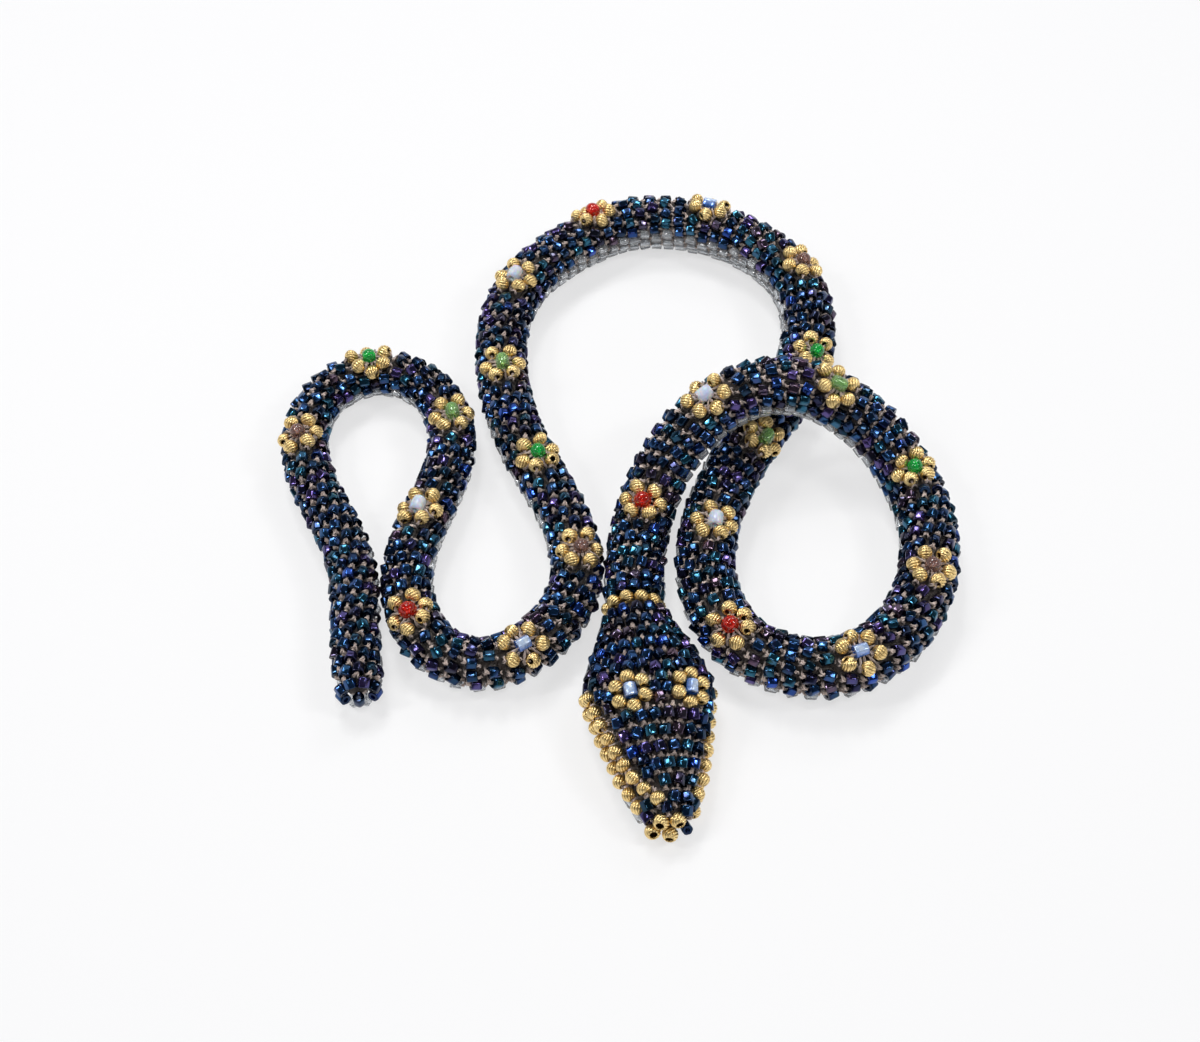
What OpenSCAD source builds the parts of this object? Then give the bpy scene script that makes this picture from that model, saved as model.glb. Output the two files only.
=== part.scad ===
// Bead crochet snake: glass beads crocheted in the round over a stuffed cord, gold six-bead
// flowers down the back, a belly of clear beads and a broad gold-lipped head. All in
// millimetres, lying on z = 0, with the head towards -Y.

/* [Rope] */
// Outside diameter of the neck, the coil and the back
rope_d = 10.4; // [9.6:0.1:11.4]
// Outside diameter of the S bend
s_bend_d = 9.2; // [8.8:0.1:9.8]
// Outside diameter of the tail
tail_d = 8.6; // [8.2:0.1:9.2]
// Space between the stuffed core and the beads round it
core_gap = 0.3; // [0.2:0.05:0.5]

/* [Beads] */
// Diameter of a scale bead
bead_d = 1.66; // [1.58:0.02:1.7]
// Length of a scale bead along its hole
bead_l = 1.5; // [1.4:0.05:1.55]
// Diameter of the hole in a scale bead
bead_bore = 0.7; // [0.5:0.05:0.9]
// Diameter of a clear belly bead
belly_d = 1.58; // [1.5:0.02:1.62]
// Length of a clear belly bead along its hole
belly_l = 1.4; // [1.3:0.05:1.5]
// Space left between neighbours round the rope
side_gap = 0.4; // [0.36:0.01:0.44]
// Space left between one round and the next
round_gap = 1.11; // [1.05:0.02:1.23]
// Slant of a scale bead's hole across the rope, in degrees
bead_slant = 16; // [0:1:18]
// How far the tail end of a scale bead stands out, in degrees
bead_lift = 9; // [0:1:11]
// How much the slant differs from bead to bead, in degrees
unevenness = 2; // [0:0.5:2.5]

/* [Flowers] */
// Number of flowers down the back
flower_count = 23; // [20:1:23]
// Place of the first flower along the rope, from the collar
first_flower = 19.5; // [18:0.5:22]
// Diameter of a gold petal bead
gold_d = 2.3; // [2.2:0.05:2.35]
// Diameter of the hole in a gold bead
gold_bore = 0.9; // [0.6:0.05:1.1]
// Diameter of the coloured centre bead
centre_d = 2.3; // [2:0.05:2.5]
// How far a flower stands out of the rope
flower_rise = 0.5; // [0.4:0.05:0.7]

/* [Head] */
// Length of the head from the collar to the snout
head_len = 40; // [38:0.5:44]
// Width of the head at the eyes
head_w = 21.5; // [19.5:0.5:22.5]
// Height of the head at the eyes
head_h = 12.6; // [12:0.1:13.5]
// Place of the eyes behind the collar, along the head
eye_at = 18.5; // [17.5:0.5:19.5]
// Distance between the two eyes
eye_spread = 9.2; // [8.8:0.1:9.8]
// Diameter of a gold lip bead
lip_d = 2.3; // [2:0.05:2.4]
// Diameter of a collar bead
collar_d = 2.05; // [1.9:0.05:2.1]
// Diameter of an eye bead
eye_d = 2; // [1.8:0.05:2.2]

/* [Hidden] */

// Where the rope lies on the table, from the collar to the tail's tip, chosen by hand
ROUTE = [
    [5.5, -21.5], [6, -10], [9, 1.5], [16, 10.5], [25.5, 15.5], [36.5, 17], [47, 12.5], [53, 3],
    [54.5, -9], [51.5, -20.5], [43.5, -30], [32.5, -32.5], [22, -27.5], [17.5, -16], [18.5, -4],
    [23, 7.5], [28.5, 17.5], [35, 27.5], [37.5, 39.5], [35.5, 51], [28, 60], [17.5, 65], [5.5, 65.5],
    [-5, 59.5], [-13.5, 51], [-17.5, 39.5], [-17, 27.5], [-14.5, 16], [-9.5, 5], [-5, -5.5], [-4, -17],
    [-9.5, -26.5], [-18, -31.5], [-27, -28], [-31.5, -17.5], [-30.5, -6.5], [-27, 4], [-25.5, 15],
    [-30, 25.5], [-39.5, 29.5], [-48.5, 24], [-51, 12.5], [-47, 1], [-41, -11], [-39.5, -25], [-37.5, -40]
];
// Shift that brings the middle of the whole snake to the origin
PLACE = [-2.1, -4.9, 0];
// How far the back leans to the right of the way from head to tail: place, degrees
LEAN = [
    [0, 0], [41, -5], [62, 8], [83, 0], [125, -10], [147, -15], [167, 15], [188, 40], [210, 25],
    [273, 25], [294, 5], [336, -8], [378, -15], [420, -12], [441, 12], [530, 12]
];
// Colours of the flower centres, from the neck on
CENTRE_COLOURS = ["red", "aliceblue", "palegreen", "limegreen", "rosybrown", "royalblue"];

// The neck climbs over the coil here, by a little more than the rope under it
crossing_at = 47;
hump_reach = 35;
hump_rise = rope_d + 0.65;
round_pitch = bead_l + round_gap;
rounds_per_flower = 8;
flower_pitch = rounds_per_flower * round_pitch;
// The bends of the rope, each midway between two flowers, and half the length that each one takes
function after_flower(i) = first_flower + (i - 0.5) * flower_pitch;
neck_bend_at = after_flower(1);
back_bend_at = after_flower(10);
s_flex_at = after_flower(14);
loop_bend_at = after_flower(21);
tip_bend_at = after_flower(23);
bend_half = 2 * round_pitch;
first_round = 2.8;
// Beads further than this from the middle of the back are the clear belly ones, in degrees
belly_from = 98;
// Beads stand a little inside the rope's outside, because their lifted ends reach it
bead_inset = 0.1;
// The core ends just before each bend, which has a soft core of its own
butt = 0.1;
// The neck's core ends inside the collar, and the head's begins past it at its own slant
neck_from = -0.2;
nape_from = 1.4;
eye_drop = 0.3;
core_sides = 10;
core_step = 3;
curve_steps = 12;
bead_sides = 24;
function before(at) = at - bend_half;
function after(at) = at + bend_half;

// The route as a smooth curve, then measured off along its own length
function spline(a, b, c, d, t) = (pow(1 - t, 3) * a + (3 * t * t * t - 6 * t * t + 4) * b
    + (3 * t + 3 * t * t - 3 * t * t * t + 1) * c + t * t * t * d) / 6;
last = len(ROUTE) - 1;
function knot(i) = i < 0 ? ROUTE[0] + i * (ROUTE[1] - ROUTE[0])
    : i > last ? ROUTE[last] + (i - last) * (ROUTE[last] - ROUTE[last - 1]) : ROUTE[i];
// The curve cuts its corners, so each corner is set out by what the curve would cut off
function corner(i) = knot(i) - (knot(i - 1) - 2 * knot(i) + knot(i + 1)) / 6;
TRACK = [for (i = [0:last - 1], j = [0:curve_steps - 1])
    spline(corner(i - 1), corner(i), corner(i + 1), corner(i + 2), j / curve_steps)];
// Lengths along the curve as it lies flat, how high it climbs there, and its true lengths
function lengths(points) = [for (i = 0, s = 0; i < len(points);
    s = s + norm(points[min(i + 1, len(points) - 1)] - points[i]), i = i + 1) s];
FLAT = lengths(TRACK);
CLIMB = [for (s = FLAT) hump_rise * (0.5 + 0.5 * cos(180 * min(1, abs(s - crossing_at) / hump_reach)))];
LENGTHS = lengths([for (i = [0:len(TRACK) - 1]) [TRACK[i].x, TRACK[i].y, CLIMB[i]]]);
TRACK_X = [for (i = [0:len(TRACK) - 1]) [LENGTHS[i], TRACK[i].x]];
TRACK_Y = [for (i = [0:len(TRACK) - 1]) [LENGTHS[i], TRACK[i].y]];
TRACK_Z = [for (i = [0:len(TRACK) - 1]) [LENGTHS[i], CLIMB[i]]];
rope_len = LENGTHS[len(LENGTHS) - 1];

function rope_r(s) = lookup(s, [[0, rope_d / 2], [260, rope_d / 2], [340, s_bend_d / 2],
    [400, s_bend_d / 2], [450, tail_d / 2]]);
function ring_r(s) = rope_r(s) - bead_d / 2 - bead_inset;
function hump(s) = lookup(s, TRACK_Z);
// The even rounds end here, and the rounded tip of the tail follows
tip_from = rope_len - tail_d / 2;
function on_track(s) = let (inside = min(max(s, 0), rope_len - 0.5), over = s - inside,
    x = lookup(inside, TRACK_X), y = lookup(inside, TRACK_Y),
    ahead = [lookup(inside + 0.4, TRACK_X) - x, lookup(inside + 0.4, TRACK_Y) - y])
    [x, y] + ahead / norm(ahead) * over;
function spot(s) = let (p = on_track(s)) [p.x, p.y, rope_r(s) + hump(s)];
function unit(v) = v / norm(v);
// The rope's own directions at a place: along it, up from it and to its right
function frame_at(s) = let (t = unit(spot(s + 0.5) - spot(s - 0.5)), u = unit([0, 0, 1] - t.z * t))
    [t, u, cross(t, u)];
// How far the back leans here, and the direction at an angle round the rope
function lean(s) = lookup(s, LEAN);
function outward(f, a) = cos(a) * f[1] + sin(a) * f[2];
function around(f, a) = cos(a) * f[2] - sin(a) * f[1];
function noise(k) = let (v = sin(k * 78.233) * 437.585) 2 * (v - floor(v)) - 1;

// One repeat of the pattern: a flower in the middle and four rounds of beads on each side.
// Beads follow one another round the rope in one long spiral, half a bead more per round than
// there are places, so that each round nests in the last. A bead is [place, angle, kind, count].
function flower_at(i) = first_flower + i * flower_pitch;
function places(s) = let (r = ring_r(s + flower_pitch / 2)) floor(2 * PI * r / (bead_d + side_gap) - 0.5);
// Six beads touch the centre one: its neighbours in the spiral, and two in each next round
function kind_of(k, n, a) =
    k == 0 ? "centre" : (abs(k) == 1 || abs(k) == n || abs(k) == n + 1) ? "petal"
    : abs(a) > belly_from ? "belly" : "scale";
// Big petal beads push their neighbours round towards the belly: distances round the rope, in mm
petal_seat = 3.05;
next_seat = petal_seat + (gold_d + bead_d) / 2 + 0.08;
function pushed(u, r, step) = lookup(u, [[0, 0], [step, petal_seat - step],
    [2 * step, next_seat - 2 * step], [PI * r, 0]]);
function push_here(ds) = let (x = min(1, max(0, (8 - abs(ds)) / 4.7))) x * x * (3 - 2 * x);
function half_turn(a) = let (b = a - 360 * floor(a / 360)) b > 180 ? b - 360 : b;
function repeat(i) = let (s0 = flower_at(i), n = places(s0), turn = 360 / (n + 0.5),
    half = rounds_per_flower / 2 * (n + 0.5))
    [for (k = [-half:half - 1]) let (flower = i >= 0 && i < flower_count,
        s = s0 + k * round_pitch / (n + 0.5), a = half_turn(k * turn), r = ring_r(s),
        to_mm = PI / 180 * r,
        shift = flower ? sign(a) * pushed(abs(a) * to_mm, r, turn * to_mm) * push_here(s - s0) / to_mm : 0,
        kind = flower ? kind_of(k, n, a) : abs(a) > belly_from ? "belly" : "scale")
        [s, a + shift, kind, i * 1000 + k]];
last_repeat = ceil((rope_len - first_flower) / flower_pitch);
ALL_BEADS = [for (i = [-1:last_repeat]) each repeat(i)];
ROPE_BEADS = [for (b = ALL_BEADS) if (b[0] > first_round && b[0] < tip_from) b];
// In every third round the belly bead right under the rope is one that it lies on
rest_rounds = 3;
function below(b) = abs(half_turn(b[1] + lean(b[0]) - 180)) < 180 / (places(b[0]) + 0.5) * 0.98
    && hump(b[0]) < 0.02 && floor(b[0] / round_pitch) % rest_rounds == 0;

// Where rows are squeezed on the inside of a bend, a bead lies straighter
function row_room(s, a, r) = norm(spot(s + 0.5) + r * outward(frame_at(s + 0.5), a)
    - spot(s - 0.5) - r * outward(frame_at(s - 0.5), a));
function ease(room) = min(1, max(0, (room - 0.72) / 0.28));
module set_bead(b, rise = 0, slant = 0, lift = 0) {
    a = b[1] + lean(b[0]);
    f = frame_at(b[0]);
    r = ring_r(b[0]) + rise;
    e = ease(row_room(b[0], a, r));
    tilt = e * (slant + (slant > 0 ? unevenness * noise(b[3]) : 0));
    out = outward(f, a);
    flat = cos(tilt) * f[0] + sin(tilt) * around(f, a);
    hole = cos(e * lift) * flat + sin(e * lift) * out;
    side = unit(cross(out, hole));
    front = cross(hole, side);
    p = PLACE + spot(b[0]) + r * out;
    multmatrix([[side.x, front.x, hole.x, p.x], [side.y, front.y, hole.y, p.y],
        [side.z, front.z, hole.z, p.z], [0, 0, 0, 1]]) children();
}
// Beads: short glass tubes, gold balls with a hole, and six-sided clear ones to lie on
module tube_bead(d, l) {
    rotate_extrude($fn = bead_sides) translate([bead_bore / 2, -l / 2]) square([(d - bead_bore) / 2, l]);
}
module ball_bead(d, bore) {
    rotate_extrude($fn = bead_sides) intersection() {
        circle(d = d, $fn = bead_sides * 2);
        translate([bore / 2, -d]) square([d, 2 * d]);
    }
}
// A round centre bead has its corners cut off, as faceted glass has
module centre_bead() {
    wall = bead_bore / 2;
    cut = centre_d / 4;
    rotate_extrude($fn = bead_sides) polygon([[wall, -2 * cut], [wall + cut, -2 * cut], [2 * cut, -cut],
        [2 * cut, cut], [wall + cut, 2 * cut], [wall, 2 * cut]]);
}
// Half the height of a six-sided bead that lies on one of its flats
lying_z = belly_d / 2 * cos(30);
module lying_bead() {
    rotate([0, 90, 0]) rotate([0, 0, 30]) cylinder(d = belly_d, h = belly_l, center = true, $fn = 6);
}
module rest_bead(b) {
    f = frame_at(b[0]);
    p = PLACE + spot(b[0]);
    slip = ring_r(b[0]) * sin(half_turn(b[1] + lean(b[0]) - 180));
    heading = atan2(f[0].y, f[0].x);
    translate([p.x, p.y, lying_z]) rotate([0, 0, heading]) translate([0, slip, 0]) lying_bead();
}
module stretch_scales(from, to) {
    for (b = ROPE_BEADS) if (b[2] == "scale" && b[0] >= from && b[0] < to)
        set_bead(b, 0, bead_slant, bead_lift) tube_bead(bead_d, bead_l);
}
module stretch_petals(from, to) {
    for (b = ROPE_BEADS) if (b[2] == "petal" && b[0] >= from && b[0] < to)
        set_bead(b, flower_rise, bead_slant) ball_bead(gold_d, gold_bore);
}
module stretch_centres(from, to) {
    for (i = [0:flower_count - 1]) if (flower_at(i) >= from && flower_at(i) < to)
        color(CENTRE_COLOURS[i % 6]) set_bead([flower_at(i), 0, "centre", i], flower_rise) centre_bead();
}
// Belly beads lie straighter towards the underside
function straighter(b) = min(1, max(0, (170 - abs(b[1])) / 50));
module set_belly(b) { set_bead(b, 0, bead_slant * straighter(b), bead_lift * straighter(b)) children(); }
module stretch_belly(from, to) {
    for (b = ROPE_BEADS) if (b[2] == "belly" && b[0] >= from && b[0] < to && !below(b))
        set_belly(b) tube_bead(belly_d, belly_l);
}
module stretch_rest(from, to) {
    for (b = ROPE_BEADS) if (b[2] == "belly" && b[0] >= from && b[0] < to && below(b))
        rest_bead(b);
}
module bend_beads(at) {
    color("midnightblue") stretch_scales(before(at), after(at));
    color("lightsteelblue") for (b = ROPE_BEADS) if (b[2] == "belly" && b[0] >= before(at) && b[0] < after(at))
        set_belly(b) tube_bead(belly_d, belly_l);
}

// The stuffed crochet tube inside the beads, swept along the route
function core_full(s) = ring_r(s) - bead_d / 2 - core_gap;
function core_r(s) = let (r = core_full(s), over = max(0, s - tip_from) / r) r * sqrt(max(0.05, 1 - over * over));
module bend_core(at) { core(before(at) + butt, after(at) - butt); }
module core(from, to) {
    count = max(2, round((to - from) / core_step));
    rings = [for (i = [0:count]) let (s = from + (to - from) * i / count, f = frame_at(s))
        for (j = [0:core_sides - 1]) PLACE + spot(s) + core_r(s) * outward(f, 360 * j / core_sides)];
    n = core_sides;
    sides = [for (i = [0:count - 1], j = [0:n - 1]) let (a = i * n + j, b = i * n + (j + 1) % n)
        each [[a, b, b + n], [a, b + n, a + n]]];
    caps = [for (j = [1:n - 2]) each [[0, j + 1, j], [count * n, count * n + j, count * n + j + 1]]];
    polyhedron(rings, concat(sides, caps), convexity = 6);
}

// The head: sections across its own line, given by half width and height at each place
head_turn = 7.5;
head_stations = [0, 0.12, 0.24, 0.4, 0.55, 0.75, 0.92, 1];
function part_of(t, values) = lookup(t / head_len, [for (i = [0:7]) [head_stations[i], values[i]]]);
function half_w(t) = part_of(t, [rope_d / 2, 0.31 * head_w, 0.41 * head_w, head_w / 2, 0.43 * head_w,
    0.34 * head_w, 0.21 * head_w, 0.14 * head_w]);
function top_z(t) = part_of(t, [rope_d, 0.88 * head_h, 0.95 * head_h, head_h, 0.93 * head_h,
    0.75 * head_h, 0.58 * head_h, 0.5 * head_h]);
// A point of the section at t, at an angle from the top, set in from the outside: round above,
// and nearly flat below, where the head lies on the table
function power(v, p) = sign(v) * pow(abs(v), p);
function section(t, a, inset) = let (w = half_w(t) - inset, middle = 0.42 * top_z(t),
    up = top_z(t) - inset - middle, down = middle - inset)
    cos(a) >= 0 ? [w * power(sin(a), 0.87), middle + up * cos(a)]
    : [w * power(sin(a), 0.57), middle + down * power(cos(a), 0.67)];
function head_spot(t, p) = let (c = ROUTE[0], x = sin(head_turn), y = -cos(head_turn))
    PLACE + [c.x + t * x - p.x * y, c.y + t * y + p.x * x, p.y];
function head_point(t, a, inset) = head_spot(t, section(t, a, inset));

// Rounds of beads on the head, spaced evenly round each section. A bead is [place, angle, count].
skin = bead_d / 2 + bead_inset;
head_round = bead_l + 1;
first_head_round = 2.6;
head_rounds = floor((head_len - 4.5 - first_head_round) / head_round);
nape_rounds = 2;
nape_end = first_head_round + (nape_rounds - 0.5) * head_round;
turn_steps = 144;
function girth(t) = [for (i = 0, g = 0; i <= turn_steps;
    g = g + norm(section(t, 360 * (i + 1) / turn_steps, skin) - section(t, 360 * i / turn_steps, skin)),
    i = i + 1) [g, 360 * i / turn_steps]];
function head_ring(j) = let (t = first_head_round + j * head_round, g = girth(t), all = g[turn_steps][0],
    n = floor(all / (bead_d + side_gap)))
    [for (k = [0:n - 1]) let (a = lookup((k + (j % 2) / 2) * all / n, g)) [t, half_turn(a), j * 100 + k]];
function slope_at(t, a) = unit(head_point(t + 0.5, a, skin) - head_point(t - 0.5, a, skin));
function out_at(t, a) = unit(cross(slope_at(t, a), head_point(t, a + 2, skin) - head_point(t, a - 2, skin)));
function head_place(b, rise = 0) = head_point(b[0], b[1], skin) + rise * out_at(b[0], b[1]);

// The eyes sit on the top, each in a ring of six gold beads. The work of the head is turned a
// little to the right, so the eyes sit off its middle and the left jaw is the higher one.
eye_shift = 1.4;
function eye_angle(side) = lookup(eye_shift + side * eye_spread / 2,
    [for (a = [-60:3:60]) [section(eye_at, a, skin).x, a]]);
eye_rise = 0.5;
eye_l = 0.85 * eye_d;
eye_ring_r = max((eye_d + lip_d) / 2 + 0.27, lip_d + 0.05);
eye_room = eye_ring_r + (lip_d + bead_d) / 2 + 0.1;
function eye_place(side) = head_place([eye_at, eye_angle(side)], eye_rise);
function near_eye(p) = min(norm(p - eye_place(1)), norm(p - eye_place(-1))) < eye_room;

// Gold lip beads run in two rows along each jaw, from behind the eyes towards the snout
lip_from = 15.5;
lip_end = head_len - 4.2;
lip_pitch = lip_d + 0.25;
lip_rise = 0.2;
lip_low = lip_d / 2 + 1.3;
lip_rows = [lip_low, lip_low + lip_pitch * 0.93];
left_lift = 2;
right_drop = 0.5;
function lip_height(row, side) = lip_rows[row] + (side < 0 ? left_lift : -right_drop);
// The angle at which a section reaches down to a height
function angle_at(t, z) = lookup(-z, [for (a = [1:3:179]) [-section(t, a, skin).y, a]]);
function lip_line(row, side) = [for (t = lip_from, g = 0; t <= lip_end;
    g = g + norm(lip_spot(t + 0.5, row, side) - lip_spot(t, row, side)), t = t + 0.5) [g, t]];
function lip_bead(t, row, side) = [t, side * angle_at(t, lip_height(row, side))];
function lip_spot(t, row, side) = head_place(lip_bead(t, row, side), lip_rise);
function lip_places(row, side) = let (line = lip_line(row, side), all = line[len(line) - 1][0])
    [for (g = row * lip_pitch / 2; g <= all; g = g + lip_pitch) lookup(g, line)];
LIP = [for (row = [0, 1], side = [-1, 1], t = lip_places(row, side)) lip_bead(t, row, side)];
LIP_SPOTS = [for (b = LIP) head_place(b, lip_rise)];
lip_room = (lip_d + bead_d) / 2 + 0.22;
function near_lip(p) = min([for (q = LIP_SPOTS) norm(p - q)]) < lip_room;
function head_kind(b) = let (p = head_place(b))
    b[0] < nape_end ? "nape" : near_eye(p) || near_lip(p) ? "left out"
    : abs(b[1]) > 168 && floor(b[2] / 100) % 2 == 0 ? "rest"
    : p.z < lip_height(b[0] > lip_from - 2 ? 1 : 0, b[1]) ? "belly" : "scale";
HEAD_BEADS = [for (j = [0:head_rounds], b = head_ring(j)) [b[0], b[1], b[2], head_kind(b)]];
module on_head(b, rise = 0) {
    out = out_at(b[0], b[1]);
    hole = slope_at(b[0], b[1]);
    side = cross(out, hole);
    p = head_place(b, rise);
    multmatrix([[side.x, out.x, hole.x, p.x], [side.y, out.y, hole.y, p.y],
        [side.z, out.z, hole.z, p.z], [0, 0, 0, 1]]) children();
}
module head_beads(kind, d, l) {
    for (b = HEAD_BEADS) if (b[3] == kind) on_head(b) tube_bead(d, l);
}
// The stuffing of the head between two places, smaller than the beads' inside
stuffing_sides = 24;
stuffing_step = 2.6;
function stuffing_ring(t) = [for (j = [0:stuffing_sides - 1])
    head_point(t, 360 * j / stuffing_sides, skin + bead_d / 2 + core_gap)];
module stuffing(from, to) {
    count = max(1, round((to - from) / stuffing_step));
    n = stuffing_sides;
    rings = [for (i = [0:count]) each stuffing_ring(from + (to - from) * i / count)];
    sides = [for (i = [0:count - 1], j = [0:n - 1]) let (a = i * n + j, b = i * n + (j + 1) % n)
        each [[a, b + n, b], [a, a + n, b + n]]];
    caps = [for (j = [1:n - 2]) each [[0, j, j + 1], [count * n, count * n + j + 1, count * n + j]]];
    polyhedron(rings, concat(sides, caps), convexity = 4);
}
// The snout is closed by gold beads, each given by its place along, across and up from the table
snout_top = lip_rows[1];
SNOUT = [[head_len - 1.8, -lip_pitch, lip_low], [head_len - 1, 0, lip_low],
    [head_len - 2, -lip_pitch / 2, snout_top], [head_len - 2, lip_pitch / 2, snout_top]];
snout_purple = [head_len - 1.8, lip_pitch, lip_low];
module at_snout(p) { translate(head_spot(p[0], [p[1], p[2]])) rotate([0, 0, head_turn]) children(); }

// The rounded tip of the tail: one last round of beads and a single bead on its end
cap_tilts = [34, 90];
function cap_count(tilt) = max(1, floor(2 * PI * ring_r(tip_from) * cos(tilt) / (bead_d + side_gap)));
module tip_cap(kind, d, l) {
    f = frame_at(tip_from);
    for (tilt = cap_tilts, k = [0:cap_count(tilt) - 1]) {
        a = half_turn(360 * (k + 0.5) / cap_count(tilt));
        out = cos(tilt) * outward(f, a) + sin(tilt) * f[0];
        side = around(f, a);
        hole = cross(side, out);
        p = PLACE + spot(tip_from) + ring_r(tip_from) * out;
        if ((abs(a) > belly_from ? "belly" : "scale") == kind)
            multmatrix([[side.x, out.x, hole.x, p.x], [side.y, out.y, hole.y, p.y],
                [side.z, out.z, hole.z, p.z], [0, 0, 0, 1]]) tube_bead(d, l);
    }
}

// The stuffed tube inside each rigid stretch, and the soft part of it inside each bend
module coil_core() { color("rosybrown") core(after(neck_bend_at), before(back_bend_at)); }
module neck_core() { color("rosybrown") core(neck_from, before(neck_bend_at)); }
module back_core() { color("rosybrown") core(after(back_bend_at), before(s_flex_at)); }
module s_bend_core() { color("rosybrown") core(after(s_flex_at), before(loop_bend_at)); }
module tail_core() { color("rosybrown") core(after(loop_bend_at), before(tip_bend_at)); }
module tip_core() { color("rosybrown") core(after(tip_bend_at), tip_from + 0.8 * core_r(tip_from)); }
module head_stuffing() { color("rosybrown") stuffing(nape_end + butt, head_len - 4.5); }
module nape_bend_core() { color("rosybrown") stuffing(nape_from, nape_end); }
module neck_bend_core() { color("rosybrown") bend_core(neck_bend_at); }
module back_bend_core() { color("rosybrown") bend_core(back_bend_at); }
module s_flex_core() { color("rosybrown") bend_core(s_flex_at); }
module loop_bend_core() { color("rosybrown") bend_core(loop_bend_at); }
module tip_bend_core() { color("rosybrown") bend_core(tip_bend_at); }

// The blue scale beads of each stretch
module coil_scales() { color("midnightblue") stretch_scales(after(neck_bend_at), before(back_bend_at)); }
module neck_scales() { color("midnightblue") stretch_scales(first_round, before(neck_bend_at)); }
module back_scales() { color("midnightblue") stretch_scales(after(back_bend_at), before(s_flex_at)); }
module s_bend_scales() { color("midnightblue") stretch_scales(after(s_flex_at), before(loop_bend_at)); }
module tail_scales() { color("midnightblue") stretch_scales(after(loop_bend_at), before(tip_bend_at)); }
module tip_scales() {
    color("midnightblue") {
        stretch_scales(after(tip_bend_at), tip_from);
        tip_cap("scale", bead_d, bead_l);
    }
}
module head_scales() { color("midnightblue") head_beads("scale", bead_d, bead_l); }

// The gold petals and coloured centres of the flowers on each stretch
module coil_petals() { color("goldenrod") stretch_petals(after(neck_bend_at), before(back_bend_at)); }
module neck_petals() { color("goldenrod") stretch_petals(first_round, before(neck_bend_at)); }
module back_petals() { color("goldenrod") stretch_petals(after(back_bend_at), before(s_flex_at)); }
module s_bend_petals() { color("goldenrod") stretch_petals(after(s_flex_at), before(loop_bend_at)); }
module tail_petals() { color("goldenrod") stretch_petals(after(loop_bend_at), before(tip_bend_at)); }
module coil_centres() { stretch_centres(after(neck_bend_at), before(back_bend_at)); }
module neck_centre() { stretch_centres(first_round, before(neck_bend_at)); }
module back_centres() { stretch_centres(after(back_bend_at), before(s_flex_at)); }
module s_bend_centres() { stretch_centres(after(s_flex_at), before(loop_bend_at)); }
module tail_centres() { stretch_centres(after(loop_bend_at), before(tip_bend_at)); }

// The clear belly beads of each stretch
module coil_belly() { color("lightsteelblue") stretch_belly(after(neck_bend_at), before(back_bend_at)); }
module neck_belly() { color("lightsteelblue") stretch_belly(first_round, before(neck_bend_at)); }
module back_belly() { color("lightsteelblue") stretch_belly(after(back_bend_at), before(s_flex_at)); }
module s_bend_belly() { color("lightsteelblue") stretch_belly(after(s_flex_at), before(loop_bend_at)); }
module tail_belly() { color("lightsteelblue") stretch_belly(after(loop_bend_at), before(tip_bend_at)); }
module tip_belly() {
    color("lightsteelblue") {
        stretch_belly(after(tip_bend_at), tip_from);
        tip_cap("belly", belly_d, belly_l);
    }
}
module head_belly() { color("lightsteelblue") head_beads("belly", belly_d, belly_l); }

// The belly beads that each stretch lies on
module coil_rest() { color("lightsteelblue") stretch_rest(after(neck_bend_at), before(back_bend_at)); }
module neck_rest() { color("lightsteelblue") stretch_rest(first_round, before(neck_bend_at)); }
module back_rest() { color("lightsteelblue") stretch_rest(after(back_bend_at), before(s_flex_at)); }
module s_bend_rest() { color("lightsteelblue") stretch_rest(after(s_flex_at), before(loop_bend_at)); }
module tail_rest() { color("lightsteelblue") stretch_rest(after(loop_bend_at), before(tip_bend_at)); }
module tip_rest() { color("lightsteelblue") stretch_rest(after(tip_bend_at), tip_from); }
module head_rest() {
    color("lightsteelblue") for (b = HEAD_BEADS) if (b[3] == "rest") {
        p = head_place(b);
        translate([p.x, p.y, lying_z]) rotate([0, 0, head_turn - 90]) lying_bead();
    }
}

// The beads round each bend, blue above and clear below
module nape_bend_beads() {
    for (b = HEAD_BEADS) if (b[3] == "nape") {
        under = abs(b[1]) > belly_from;
        color(under ? "lightsteelblue" : "midnightblue") on_head(b)
            tube_bead(under ? belly_d : bead_d, under ? belly_l : bead_l);
    }
}
module neck_bend_beads() { bend_beads(neck_bend_at); }
module back_bend_beads() { bend_beads(back_bend_at); }
module s_flex_beads() { bend_beads(s_flex_at); }
module loop_bend_beads() { bend_beads(loop_bend_at); }
module tip_bend_beads() { bend_beads(tip_bend_at); }

// The gold ring at the neck, and the gold and coloured beads of the head
module collar() {
    r = rope_r(0) - collar_d / 2 - bead_inset;
    n = floor(2 * PI * r / (collar_d + 0.1));
    ahead = frame_at(0)[0];
    along = unit([ahead.x - sin(head_turn), ahead.y + cos(head_turn), 0]);
    f = [along, [0, 0, 1], cross(along, [0, 0, 1])];
    color("goldenrod") for (k = [0:n - 1]) {
        a = 360 * (k + 0.5) / n;
        translate(PLACE + spot(0) + r * outward(f, a)) rotate([90, 0, atan2(along.y, along.x) + 90])
            ball_bead(collar_d, bead_bore);
    }
}
module lip() { color("goldenrod") for (b = LIP) on_head(b, lip_rise) ball_bead(lip_d, gold_bore); }
module eyes() {
    color("royalblue") for (side = [-1, 1])
        on_head([eye_at, eye_angle(side)], eye_rise) tube_bead(eye_d, eye_l);
}
module eye_rings() {
    color("goldenrod") for (side = [-1, 1], k = [0:5])
        on_head([eye_at, eye_angle(side)], eye_rise) rotate([0, 60 * k + 30, 0])
            translate([eye_ring_r, -eye_drop, 0]) ball_bead(lip_d, gold_bore);
}
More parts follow.
